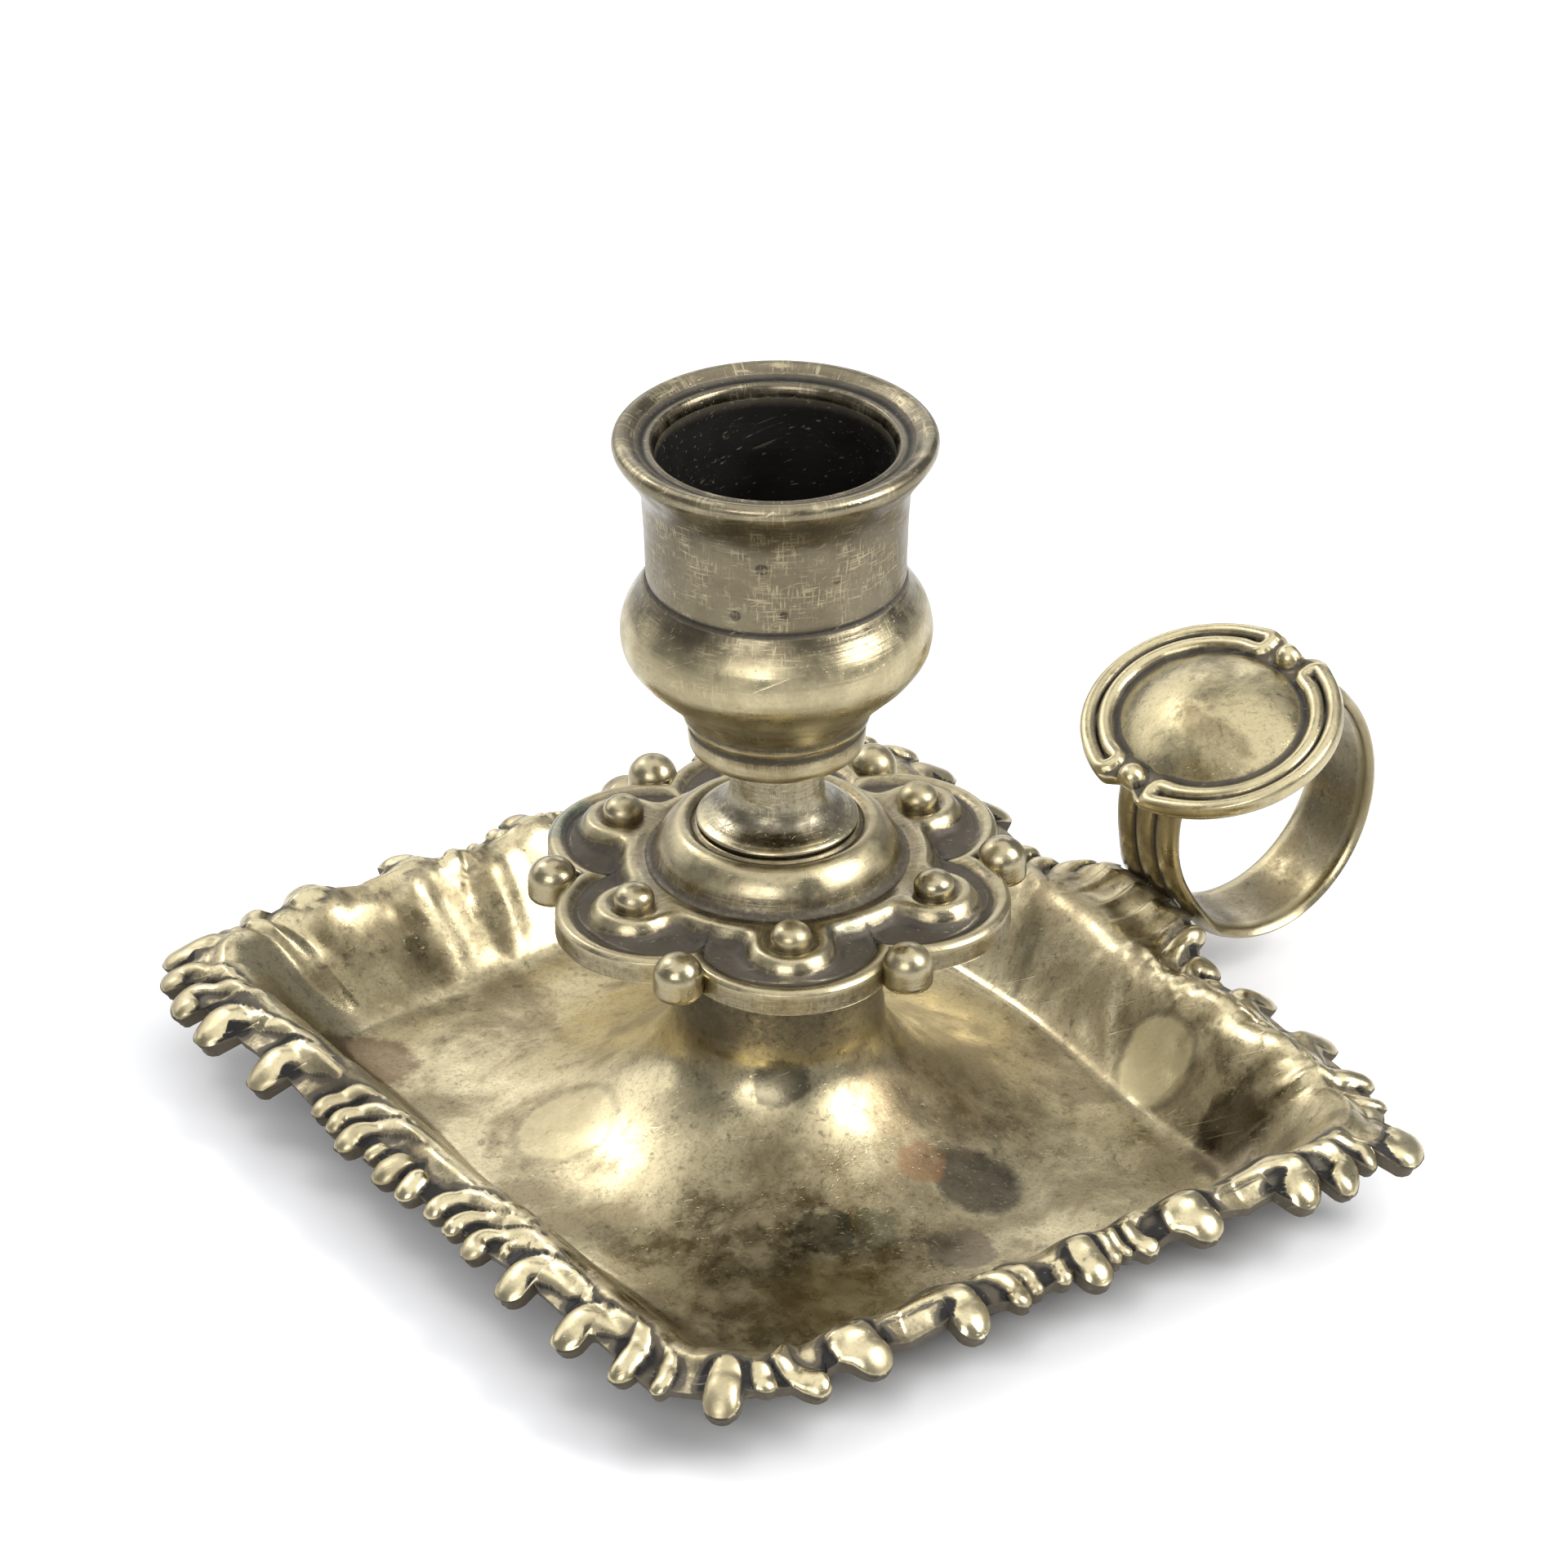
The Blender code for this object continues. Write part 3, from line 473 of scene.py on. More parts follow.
def bell_rows(ring):
    """Floor, bell, hollow and underside as rows over the coarse columns: from
    under the floor's edge inwards, up inside the bell, through the rod's hole
    and down the outside to the floor's edge."""
    far = np.linalg.norm(ring, axis=1)
    way = ring / far[:, None]
    outside = even_steps(smooth_curve(BELL, 6), 0.75)
    neck = [(10.0, 14.7), (9.95, 15.2), (9.95, 20.0), (9.9, BELL_TOP - 0.4), (9.5, BELL_TOP)]
    inside = [(r - BELL_THICKNESS, max(z - BELL_THICKNESS, 0.0)) for r, z in outside[::-2]]
    roof = BELL_TOP - 2.2
    ceiling = [(8.5, roof), (HOLE_RADIUS, roof), (HOLE_RADIUS, BELL_TOP)]
    turned_part = inside + ceiling + neck[::-1] + [tuple(p) for p in outside]
    rows = [np.column_stack([way * np.minimum(r, far - 0.4)[:, None], np.full(len(way), z)])
            for r, z in turned_part]
    reached = np.minimum(outside[-1][0], far - 0.4)
    for share in (0.4, 0.8):
        rows.append(np.column_stack([way * (reached + (far - reached) * share)[:, None],
                                     np.full(len(way), FLOOR_HEIGHT)]))
    return np.array(rows)


def stitch(fine, coarse, count, ratio):
    """Triangles between a row of count points and one with fewer points."""
    few = count // ratio
    one = np.arange(few)
    after = coarse + (one + 1) % few
    faces = []
    for k in range(ratio):
        a = fine + one * ratio + k
        b = fine + (one * ratio + k + 1) % count
        faces += np.stack([coarse + one if k < ratio / 2 else after, a, b], 1).tolist()
    faces += np.stack([coarse + one, fine + one * ratio + ratio // 2, after], 1).tolist()
    return faces


def rolled_under(top, ground):
    """Rows that close the border's edge and come back under border and wall to
    the table, at the wall's thickness below the ground."""
    centre = top[len(WALL_RISE) - 1, :, :2]
    edge = top[-1:]
    back = centre - edge[..., :2]
    down = np.ones((1, edge.shape[1], 1))
    lip = [edge + np.concatenate([back * share, down * drop], 2)
           for share, drop in ((0.03, -0.3), (0.10, -0.7))]
    picks = np.array([36, 30, 24, 18, 14, 10, 6, 2, 0])
    under = top[picks].copy()
    slope = np.linspace(0.0, 1.0, len(picks))[:, None]
    height = ground[picks] - BORDER_THICKNESS * (1 - slope * 0.3)
    inward = top[0, :, :2] - top[len(WALL_RISE), :, :2]
    inward /= np.linalg.norm(inward, axis=1, keepdims=True)
    under[:, :, :2] -= inward * (BORDER_THICKNESS * np.sin(slope * math.pi / 2))[..., None] * 0.9
    under[..., 2] = np.maximum(height, 0.0)
    under[-1, :, 2] = 0.0
    return np.concatenate([*lip, under])


def make_tray(material):
    """Floor and bell on coarse columns, wall and border on fine ones, stitched
    together above and below into one closed skin."""
    top, ground, depth = tray_top()
    draw_tongue(top, len(WALL_RISE))
    rim = np.concatenate([top, rolled_under(top, ground)])
    count = rim.shape[1]
    bell = bell_rows(top[0, ::COARSE, :2])
    bell[0, :, 2] = 0.0
    points = np.concatenate([bell.reshape(-1, 3), rim.reshape(-1, 3)])
    few = bell.shape[1]
    base = len(bell) * few
    faces = ring_faces(len(bell), few).tolist()
    faces += (ring_faces(len(rim), count) + base).tolist()
    faces += stitch(base, base - few, count, COARSE)
    faces += stitch(base + (len(rim) - 1) * count, 0, count, COARSE)
    # The rows rolled under the border and wall are darkened all over.
    hidden = np.full((len(rim) - len(top)) * count, UNDERSIDE_DARKENING)
    # The bell's neck above 15.6 mm is given depth as painted shade under the drip plate, with a thin dark
    # line at its foot.
    neck = 0.075 * smoothstep(14.6, 15.6, bell[..., 2]) + 0.04 * np.exp(-((bell[..., 2] - 14.5) / 0.35) ** 2)
    depth = np.concatenate([neck.ravel(), depth.ravel(), hidden])
    return add_piece("cast_tray", points, faces, depth, "base", ["tray"], material, "aged_brass")


# ------------------------------------------------------------------ drip plate

def lobed(angle, centre, radius):
    """Distance from the axis to an outline of equal arcs, one to a lobe."""
    step = 2 * math.pi / LOBES
    local = (angle + step / 2) % step - step / 2
    return centre * np.cos(local) + np.sqrt(np.maximum(radius ** 2 - (centre * np.sin(local)) ** 2, 0))


def rosette_height(plan):
    """Height of the plate's top at plan points: a raised disc with a round ear at
    every bead, joined softly, with an ogee slope down to the plate's field."""
    disc = np.hypot(plan[..., 0], plan[..., 1]) - ROSETTE_RADIUS
    at = np.arange(LOBES) * 2 * math.pi / LOBES
    beads = BEAD_CIRCLE * np.stack([np.cos(at), np.sin(at)], 1)
    ears = np.linalg.norm(plan[..., None, :] - beads, axis=-1).min(-1) - ROSETTE_EAR
    share = np.clip(0.5 + 0.5 * (ears - disc) / ROSETTE_BLEND, 0, 1)
    outside = ears + (disc - ears) * share - ROSETTE_BLEND * share * (1 - share)
    distance, height = np.array(OGEE).T
    return np.interp(outside, distance, height)


def plate_rows(angle):
    """Rows of (radius, height) round the plate: from the hole, under the plate,
    round its lobed edge, over the rosette in even steps of the radius and over the
    boss to the collar's seat; the edge is measured outwards from the lobes' arcs.
    With them goes the row where the top's field begins."""
    flat = angle * 0
    edge = [(-1.4, 26.8), (-0.1, 26.8), (0.0, 26.9), (0.0, 27.8), (0.0, 28.6), (-0.1, 28.85), (-0.5, 29.15),
            (-1.1, 29.1), (-1.9, 28.7)]
    boss = [(12.3, 30.4), (11.85, 30.7), (11.5, 31.4), (11.1, 32.4), (10.4, 33.4), (9.6, 34.1), (8.95, 34.3),
            (8.45, 34.15), (8.15, 34.0), (8.0, 33.85), (7.85, 33.95), (7.65, 34.1), (7.4, 34.1), (7.2, 33.9)]
    lobes = [(lobed(angle, LOBE_CENTRE, LOBE_RADIUS + inset), z) for inset, z in edge]
    outer = lobed(angle, LOBE_CENTRE, LOBE_RADIUS - 2.2)
    top = []
    for share in np.linspace(0, 1, ROSETTE_ROWS):
        radius = outer + (BOSS_FOOT - outer) * share
        top.append((radius, rosette_height(np.stack([radius * np.cos(angle), radius * np.sin(angle)], 1))))
    parts = [[(flat + HOLE_RADIUS, PLATE_BOTTOM), (flat + 6, PLATE_BOTTOM)],
             [(flat + 10, PLATE_BOTTOM), *lobes, top[0]], top[1:-1],
             [top[-1], *((flat + r, z) for r, z in boss)],
             [(flat + 7.2, 31.1), (flat + HOLE_RADIUS, 31.1)]]
    parts = [np.array([np.stack([r, flat + z], 1) for r, z in part]) for part in parts]
    parts[1], parts[3] = smooth_curve(parts[1], 4), smooth_curve(parts[3], 4)
    rows = np.concatenate(parts)
    rows[..., 1] = np.clip(rows[..., 1], PLATE_BOTTOM, None)
    return rows, len(parts[0]) + len(parts[1]) - 4


def make_drip_plate(material):
    """The plate, with a bead on every lobe and a ball in every notch."""
    angle = np.arange(432) * 2 * math.pi / 432
    rows, field_start = plate_rows(angle)
    r, z = rows[..., 0], rows[..., 1]
    grid = np.stack([r * np.cos(angle), r * np.sin(angle), z], 2)
    points, faces = [grid.reshape(-1, 3)], ring_faces(len(grid), len(angle), True).tolist()
    field = 0.075 * smoothstep(29.7, 28.9, z) * (np.arange(len(grid)) >= field_start)[:, None]
    depth = [(carving(grid, True) + field).ravel()]
    bead = [(0, 29.2), (BEAD_RADIUS, 29.2)]
    bead += [(BEAD_RADIUS * math.cos(a), 31.0 + 1.5 * math.sin(a)) for a in np.linspace(0, math.pi / 2, 9)]
    ball = [(0, PLATE_BOTTOM), (2.15, PLATE_BOTTOM), (BALL_RADIUS, PLATE_BOTTOM + 0.3)]
    ball += [(BALL_RADIUS * math.cos(a), 28.7 + 2.2 * math.sin(a)) for a in np.linspace(0, math.pi / 2, 12)]
    for shape, circle, shift in ((bead, BEAD_CIRCLE, 0.0), (ball, BALL_CIRCLE, math.pi / LOBES)):
        stud, stud_faces, stud_depth = turned(even_steps(shape, STUD_STEP), 40)
        for lobe in range(LOBES):
            at = shift + lobe * 2 * math.pi / LOBES
            before = sum(len(p) for p in points)
            points.append(stud + [circle * math.cos(at), circle * math.sin(at), 0])
            faces += [[corner + before for corner in face] for face in stud_faces]
            depth.append(stud_depth)
    return add_piece("lobed_drip_plate", np.concatenate(points), faces, np.concatenate(depth), "plate",
                     ["drip_plate"], material, "aged_brass")


# -------------------------------------------------------------- collar, socket

def make_collar(material):
    """Straight neck over a bell-mouthed foot that drops into the plate's seat."""
    foot = [(7.05, 31.5), (7.05, 33.6), (7.1, 34.1), (7.4, 34.28), (7.65, 34.5), (7.55, 34.8), (7.2, 34.95),
            (7.0, 35.1), (6.5, 35.3), (5.8, 35.65), (5.2, 36.1), (4.75, 36.8), (4.5, 37.7), (4.38, 38.8),
            (4.3, 40.5)]
    profile = smooth_curve(foot, 5).tolist() + [(4.3, 42.0), (HOLE_RADIUS, 42.05), (HOLE_RADIUS, 31.5)]
    piece = turned_loop(even_steps(profile, STUD_STEP), 160)
    return add_piece("turned_collar", *piece, "base", ["stem_collar"], material, "worn_brass")


def make_socket(material):
    """Turned cup: knop, bulb, straight wall, flared rim, sloping lip and bore."""
    knop = [(7.5, 42.42), (8.0, 42.6), (8.25, 43.1), (8.32, 44.0), (8.35, 44.9), (8.5, 45.4), (8.75, 45.8),
            (8.8, 46.3)]
    bulb = [(8.95, 46.6), (9.3, 47.2), (10.3, 48.5), (11.2, 49.4), (12.1, 50.3), (12.9, 51.1), (13.6, 52),
            (14.15, 52.9), (14.42, 53.9), (14.5, 55), (14.32, 56.1), (13.95, 57.2), (13.35, 58.2),
            (12.75, 59.1), (12.3, 59.9), (12, 60.35)]
    wall = [(11.93, 60.6), (12.05, 61.0), (12.1, 63.0), (12.2, 66.0), (12.35, 68.4)]
    flare = [(12.37, 68.9), (12.55, 69.7), (12.95, 70.7), (13.5, 71.6), (14.1, 72.45), (14.65, 73.2),
             (14.95, 73.8), (15.0, 74.2), (14.85, 74.65), (14.5, 74.95), (14.1, RIM_TOP), (13.7, 74.88)]
    lip = [(13.2, 74.6), (12.6, 74.2), (12.15, 73.95), (11.95, 74), (11.75, 74.1), (11.5, 74.05),
           (11.25, 73.7), (11.05, 73)]
    outside = np.concatenate([smooth_curve(part, 4) for part in (knop, bulb, wall, flare, lip)])
    blind_hole = [(0, 50.3), (HOLE_RADIUS, 50.3), (HOLE_RADIUS, 42.4)]
    profile = blind_hole + outside.tolist() + [(11.0, 72.0), (11.0, 52.3), (10.7, 52.0), (0, 52.0)]
    points, faces, depth = turned(even_steps(profile, 0.26), 200)
    # The bore gets extra depth, growing towards its bottom, as painted shade inside the socket.
    bore = (np.hypot(points[:, 0], points[:, 1]) < 11.3) & (points[:, 2] > 50)
    piece = points, faces, depth * 1.8 + 0.3 * bore * smoothstep(73.8, 71.0, points[:, 2])
    return add_piece("turned_socket", *piece, "socket", ["candle_socket"], material, "aged_brass")


# ---------------------------------------------------------------- finger ring

def under_plate(section, tangent):
    """Carry the strap's end along its tangent to just under the thumb plate."""
    tilt = math.radians(THUMB_TILT)
    normal = np.array([-math.sin(tilt), 0, math.cos(tilt)])
    centre = np.array([THUMB_CENTRE[0], 0, THUMB_CENTRE[1]])
    travel = (normal @ centre - 2.1 - section @ normal) / (tangent @ normal)
    return section + travel[:, None] * tangent


def make_finger_ring(material):
    """Strap carried round an ellipse in the XZ plane: three reeds outside, a
    plain face inside, and a flare where it meets the tray's border."""
    across = np.linspace(-1, 1, 61)
    reeds = 0.42 * (np.abs(np.cos(across * 1.5 * math.pi)) ** 0.7 - 1)
    rounded = STRAP_THICKNESS / 2 * (1 - np.abs(across) ** 10) ** 0.6
    back = np.linspace(1, -1, 31)[1:-1]
    inner = -STRAP_THICKNESS / 2 * (1 - np.abs(back) ** 8) ** 0.6
    section = np.concatenate([np.stack([across, rounded + reeds * (1 - across ** 8)], 1),
                              np.stack([back, inner], 1)])
    angle = np.radians(np.linspace(160.0, 412.0, 260))
    cos, sin = np.cos(angle), np.sin(angle)
    x, z = RING_CENTRE[0] + RING_RADII[0] * cos, RING_CENTRE[1] + RING_RADII[1] * sin
    middle = np.stack([x, 0 * angle, z], 1)
    normal = np.stack([cos / RING_RADII[0], 0 * angle, sin / RING_RADII[1]], 1)
    normal /= np.linalg.norm(normal, axis=1, keepdims=True)
    width = STRAP_HALF_WIDTH + STRAP_FLARE * np.exp(-((np.degrees(angle) - FLARE_ANGLE) / FLARE_SPREAD) ** 2)
    grid = middle[:, None] + section[None, :, 1:] * normal[:, None]
    grid[..., 1] += width[:, None] * section[None, :, 0]
    for end, direction in ((0, -1), (-1, 1)):
        tangent = np.array([-normal[end][2], 0, normal[end][0]]) * direction
        grid[end] = under_plate(grid[end], tangent)
    count = len(section)
    faces = ring_faces(len(grid), count).tolist()
    faces += [list(range(count)), list(range((len(grid) - 1) * count, len(grid) * count))[::-1]]
    depth = carving(grid) * 1.5
    return add_piece("strap_finger_ring", grid.reshape(-1, 3), faces, depth.ravel(), "base", ["finger_ring"],
                     material, "aged_brass")


def thumb_reeds():
    """Two closed loops, one on each side of the thumb plate: along the edge, round
    a hairpin at the end, back along the inner reed and round the other hairpin."""
    turn = np.linspace(math.radians(16), math.radians(164), 14)
    loops = []
    for side in (1, -1):
        outer, inner = (np.stack([(THUMB_RADII[0] - inset) * np.cos(turn),
                                  side * (THUMB_RADII[1] - inset) * np.sin(turn)], 1) for inset in (0.8, 2.6))
        loop = smooth_curve(np.concatenate([outer, inner[::-1], outer[:2]]), 6)
        loops.append((even_steps(loop, 0.5), 0.85, 0.85, 0.75, 0.75))
    return loops


def make_thumb_plate(material):
    """Oval plate on a polar grid. Two reeds run round it and break at both ends,
    where a bead sits between their curled tips; a cabochon dome fills the middle."""
    angle = np.arange(320) * 2 * math.pi / 320
    cos, sin = np.cos(angle), np.sin(angle)
    radius = 1 / np.sqrt((cos / THUMB_RADII[0]) ** 2 + (sin / THUMB_RADII[1]) ** 2)
    at_ends = np.abs(cos) > 0.5
    side = np.abs(THUMB_RADII[1] * sin)
    radius = radius - THUMB_NOTCH * np.exp(-(side / 2.6) ** 4) * at_ends
    inset = np.concatenate([[1.5, 0.6, 0.15, 0.0], np.linspace(0, 1, 60)[1:] ** 1.2 * 14.6])
    share = np.maximum(radius * (1 - inset[:, None] / 14.6), 0.0)
    u, v = share * cos, share * sin
    plan = np.stack([u[4:], v[4:]], -1)
    reeds, _ = bar_height(plan.reshape(-1, 2), thumb_reeds(), 0.5)
    reeds = reeds.reshape(u[4:].shape)
    inside = (u[4:] / DOME_RADII[0]) ** 2 + (v[4:] / DOME_RADII[1]) ** 2
    top = -0.75 + reeds + (DOME_RISE + 0.15) * np.clip(1 - inside, 0, 1) ** 0.9
    for centre in (-10.1, 10.2):
        apart = (u[4:] - centre) ** 2 + v[4:] ** 2
        top = np.maximum(top, -0.7 + 1.5 * np.sqrt(np.clip(1 - apart / END_BEAD_RADIUS ** 2, 0, 1)))
    rim = np.array([-1.9, -1.9, -1.6, -1.1])[:, None] + 0 * angle
    height = np.concatenate([rim, top])
    tilt = math.radians(THUMB_TILT)
    grid = np.stack([THUMB_CENTRE[0] + u * math.cos(tilt) - height * math.sin(tilt), v,
                     THUMB_CENTRE[1] + u * math.sin(tilt) + height * math.cos(tilt)], 2)
    depth = carving(grid) * 0.8
    middle = np.concatenate([grid.reshape(-1, 3), grid[-1].mean(0)[None]])
    last = (len(grid) - 1) * len(angle)
    column = np.arange(len(angle))
    fan = np.stack([last + column, last + (column + 1) % len(angle), 0 * column + len(middle) - 1], 1)
    faces = ring_faces(len(grid), len(angle)).tolist() + fan.tolist() + [list(range(len(angle)))]
    return add_piece("domed_thumb_plate", middle, faces, np.append(depth.ravel(), 0), "base", ["thumb_plate"],
                     material, "aged_brass")


# ------------------------------------------------------------------- materials

CLEAN_BRASS = (0.44, 0.375, 0.225)
TARNISHED = (0.21, 0.17, 0.095)
GRIME_AND_SHADE = (0.055, 0.045, 0.033)
# Near black for the deepest hollows: partly soot, partly painted shade, as in the socket's bore.
SOOT_AND_SHADE = (0.010, 0.009, 0.007)
BRIGHT_EDGE = (0.55, 0.48, 0.30)
GREEN_FILM = (0.10, 0.13, 0.10)
COPPER_FILM = (0.30, 0.15, 0.07)


def put(tree, kind, wires=None, **settings):
    """Add a node; wires sets each named or numbered input to a value or links it
    from an output socket."""
    made = tree.nodes.new(kind)
    for key, value in settings.items():
        setattr(made, key, value)
    for key, value in (wires or {}).items():
        if isinstance(value, bpy.types.NodeSocket):
            tree.links.new(value, made.inputs[key])
        else:
            made.inputs[key].default_value = value
    return made


def use(tree, group, wires=None):
    """Place a node group with its inputs; gives its outputs."""
    return put(tree, "ShaderNodeGroup", wires, node_tree=group).outputs


def new_group(name, inputs, outputs):
    """An empty node group with float inputs, but for Place, Centre, Stretch and
    Turn, which are vectors, and those ending in ~, which are colours; gives the
    group, what it is given and its outputs by name."""
    group = bpy.data.node_groups.new(name, "ShaderNodeTree")
    vectors = ("Place", "Centre", "Stretch", "Turn")
    for labels, side in ((inputs, "INPUT"), (outputs, "OUTPUT")):
        for label in labels.split(", ") if labels else ():
            kind = "Color" if label.endswith("~") else "Vector" if label in vectors else "Float"
            group.interface.new_socket(label.strip("~"), in_out=side, socket_type="NodeSocket" + kind)
    return group, group.nodes.new("NodeGroupInput").outputs, group.nodes.new("NodeGroupOutput").inputs


def link(tree, wires, sockets):
    """Link each value to the socket of that name."""
    for label, value in wires.items():
        tree.links.new(value, sockets[label])
    return tree


def math_node(tree, operation, a, b=0.0, clamp=False):
    return put(tree, "ShaderNodeMath", {0: a, 1: b}, operation=operation, use_clamp=clamp).outputs[0]


def product(tree, first, *others):
    """Values multiplied in turn."""
    for other in others:
        first = math_node(tree, "MULTIPLY", first, other)
    return first


def ramp(tree, value, low, high, start=0.0, end=1.0):
    return put(tree, "ShaderNodeMapRange", {0: value, 1: low, 2: high, 3: start, 4: end},
               interpolation_type="SMOOTHSTEP").outputs[0]


def blend(tree, share, a, b):
    node = put(tree, "ShaderNodeMix", {0: share}, data_type="RGBA")
    for socket, value in ((node.inputs[6], a), (node.inputs[7], b)):
        if isinstance(value, bpy.types.NodeSocket):
            tree.links.new(value, socket)
        else:
            socket.default_value = (*value, 1.0)
    return node.outputs[2]


def noise(tree, place, scale, detail=4.0, rough=0.6, distortion=0.0):
    wires = {"Vector": place, "Scale": scale, "Detail": detail, "Roughness": rough, "Distortion": distortion}
    return put(tree, "ShaderNodeTexNoise", wires).outputs[0]


def joined(tree, x=0.0, y=0.0, z=0.0):
    return put(tree, "ShaderNodeCombineXYZ", {0: x, 1: y, 2: z}).outputs[0]


def place_group():
    """Place in millimetres about the stem's axis."""
    group, _, out = new_group("stem_place", "", "Place")
    coords = group.nodes.new("ShaderNodeTexCoord").outputs["Object"]
    place = put(group, "ShaderNodeVectorMath", {0: coords, 1: (1 / MM,) * 3, 2: (-STEM_X, 0, 0)},
                operation="MULTIPLY_ADD")
    return link(group, {"Place": place.outputs[0]}, out)


def blotch_group():
    """Cloudy mask: smooth noise, cut between two levels."""
    group, given, out = new_group("blotches", "Place, Size, Low, High", "Mask")
    cloud = noise(group, given["Place"], given["Size"], 7.0, 0.62, 0.35)
    return link(group, {"Mask": ramp(group, cloud, given["Low"], given["High"])}, out)


def carved_group():
    """Hollows and worn edges from the depth of carving, with ragged limits."""
    group, given, out = new_group("carved", "Place, Hollow, Edge", "Hollow, Worn, Deep")
    depth = put(group, "ShaderNodeAttribute", attribute_name="carving").outputs["Fac"]
    ragged = math_node(group, "SUBTRACT", noise(group, given["Place"], 1.7, 6.0, 0.7), 0.5)
    shifted = math_node(group, "ADD", depth, product(group, ragged, 0.11))
    return link(group, {"Hollow": ramp(group, shifted, 0.0, given["Hollow"]),
                        "Deep": ramp(group, shifted, 0.12, 0.3),
                        "Worn": ramp(group, product(group, shifted, -1.0), 0.0, given["Edge"])}, out)


def scratch_group():
    """Fine lines: noise drawn out along one direction, cut near its peak."""
    group, given, out = new_group("scratches", "Place, Stretch, Turn, Low", "Mask")
    turned_place = put(group, "ShaderNodeVectorRotate", {"Vector": given["Place"], "Rotation": given["Turn"]},
                       rotation_type="EULER_XYZ").outputs[0]
    drawn = put(group, "ShaderNodeVectorMath", {0: turned_place, 1: given["Stretch"]}, operation="MULTIPLY")
    line = noise(group, drawn.outputs[0], 1.0, 3.0, 0.5)
    high = math_node(group, "ADD", given["Low"], 0.08)
    return link(group, {"Mask": ramp(group, line, given["Low"], high)}, out)


def lathe_group():
    """Tool lines round the stem's axis, from the radius and the height, and a
    hatching of fine scratches along and across them."""
    group, given, out = new_group("lathe_lines", "Place, Fineness", "Lines, Hatch")
    x, y, z = put(group, "ShaderNodeSeparateXYZ", {0: given["Place"]}).outputs
    radius = put(group, "ShaderNodeVectorMath", {0: joined(group, x, y)}, operation="LENGTH").outputs["Value"]
    angle = math_node(group, "ARCTAN2", y, x)
    fine_radius, fine_height = (product(group, value, given["Fineness"]) for value in (radius, z))
    across = joined(group, fine_radius, fine_height, product(group, angle, 0.8))
    round_lines = joined(group, product(group, angle, 5.0), product(group, z, 4.2))
    up_lines = joined(group, product(group, angle, 62.0), product(group, z, 0.5))
    patches = ramp(group, noise(group, given["Place"], 0.35, 4.0, 0.6), 0.42, 0.6)
    masks = [ramp(group, noise(group, lines, 1.0, 3.0, 0.6), 0.5, 0.66) for lines in (round_lines, up_lines)]
    return link(group, {"Lines": noise(group, across, 1.0, 3.0, 0.55),
                        "Hatch": product(group, math_node(group, "MAXIMUM", *masks), patches)}, out)


def spot_group():
    """One spot with a ragged rim at a given place: mostly a stain, in one place painted shade."""
    group, given, out = new_group("spot", "Place, Centre, Radius, Ragged", "Mask, Rim")
    apart = put(group, "ShaderNodeVectorMath", {0: given["Place"], 1: given["Centre"]}, operation="DISTANCE")
    wobble = math_node(group, "SUBTRACT", noise(group, given["Place"], 0.45, 6.0, 0.6), 0.5)
    distance = math_node(group, "ADD", apart.outputs["Value"], product(group, wobble, given["Ragged"]))
    share = math_node(group, "DIVIDE", distance, given["Radius"])
    rim = math_node(group, "ABSOLUTE", math_node(group, "SUBTRACT", share, 1.0))
    return link(group, {"Mask": ramp(group, share, 1.08, 0.85), "Rim": ramp(group, rim, 0.16, 0.02)}, out)


def tarnish_group(blotches, carved):
    """Colour, roughness and metal of old brass: clean metal under two cloudy films
    of tarnish, dark grime in the hollows and bright metal on the worn edges. The
    same dark colour paints shade where the bell's neck and the socket's bore are
    given depth."""
    group, given, out = new_group(
        "tarnish", "Place, Clean~, Tarnish~, Grime~, Bright~, Cloud Size, Cloud Low, Cloud High, "
        "Hollow Depth, Edge Depth", "Color~, Roughness, Metal, Hollow")
    cloud = use(group, blotches, {"Place": given["Place"], "Size": given["Cloud Size"],
                                  "Low": given["Cloud Low"], "High": given["Cloud High"]})[0]
    fine = use(group, blotches, {"Place": given["Place"], "Size": 0.85, "Low": 0.56, "High": 0.72})[0]
    relief = use(group, carved, {"Place": given["Place"], "Hollow": given["Hollow Depth"],
                                 "Edge": given["Edge Depth"]})
    film = blend(group, cloud, given["Clean"], given["Tarnish"])
    film = blend(group, product(group, fine, 0.55), film, given["Grime"])
    speckle = ramp(group, noise(group, given["Place"], 2.6, 9.0, 0.75), 0.48, 0.66, 0.0, 0.4)
    film = blend(group, speckle, film, given["Grime"])
    bright = blend(group, product(group, relief["Worn"], 0.45), film, given["Bright"])
    # Hollows take the dark colour: grime in carved hollows, painted shade on the bell's neck and in the
    # socket's bore.
    colour = blend(group, product(group, relief["Hollow"], 0.92), bright, given["Grime"])
    # The deepest hollows go near black: partly soot, partly painted shade.
    colour = blend(group, relief["Deep"], colour, SOOT_AND_SHADE)
    smears = noise(group, given["Place"], 0.35, 5.0, 0.6)
    rough = math_node(group, "ADD", ramp(group, smears, 0.3, 0.7, 0.2, 0.38), product(group, cloud, 0.1))
    rough = math_node(group, "ADD", rough, product(group, relief["Hollow"], 0.3))
    return link(group, {"Color": colour, "Roughness": rough, "Hollow": relief["Hollow"],
                        "Metal": ramp(group, relief["Hollow"], 0.0, 1.0, 1.0, 0.55)}, out)


PLACE = place_group()
BLOTCHES = blotch_group()
CARVED = carved_group()
SCRATCHES = scratch_group()
LATHE = lathe_group()
SPOT = spot_group()
TARNISH = tarnish_group(BLOTCHES, CARVED)


def start_finish(name):
    """A new material with its node tree, its shader and the place in millimetres."""
    material = bpy.data.materials.new(name)
    material.use_nodes = True
    tree = material.node_tree
    return material, tree, tree.nodes["Principled BSDF"].inputs, use(tree, PLACE)[0]


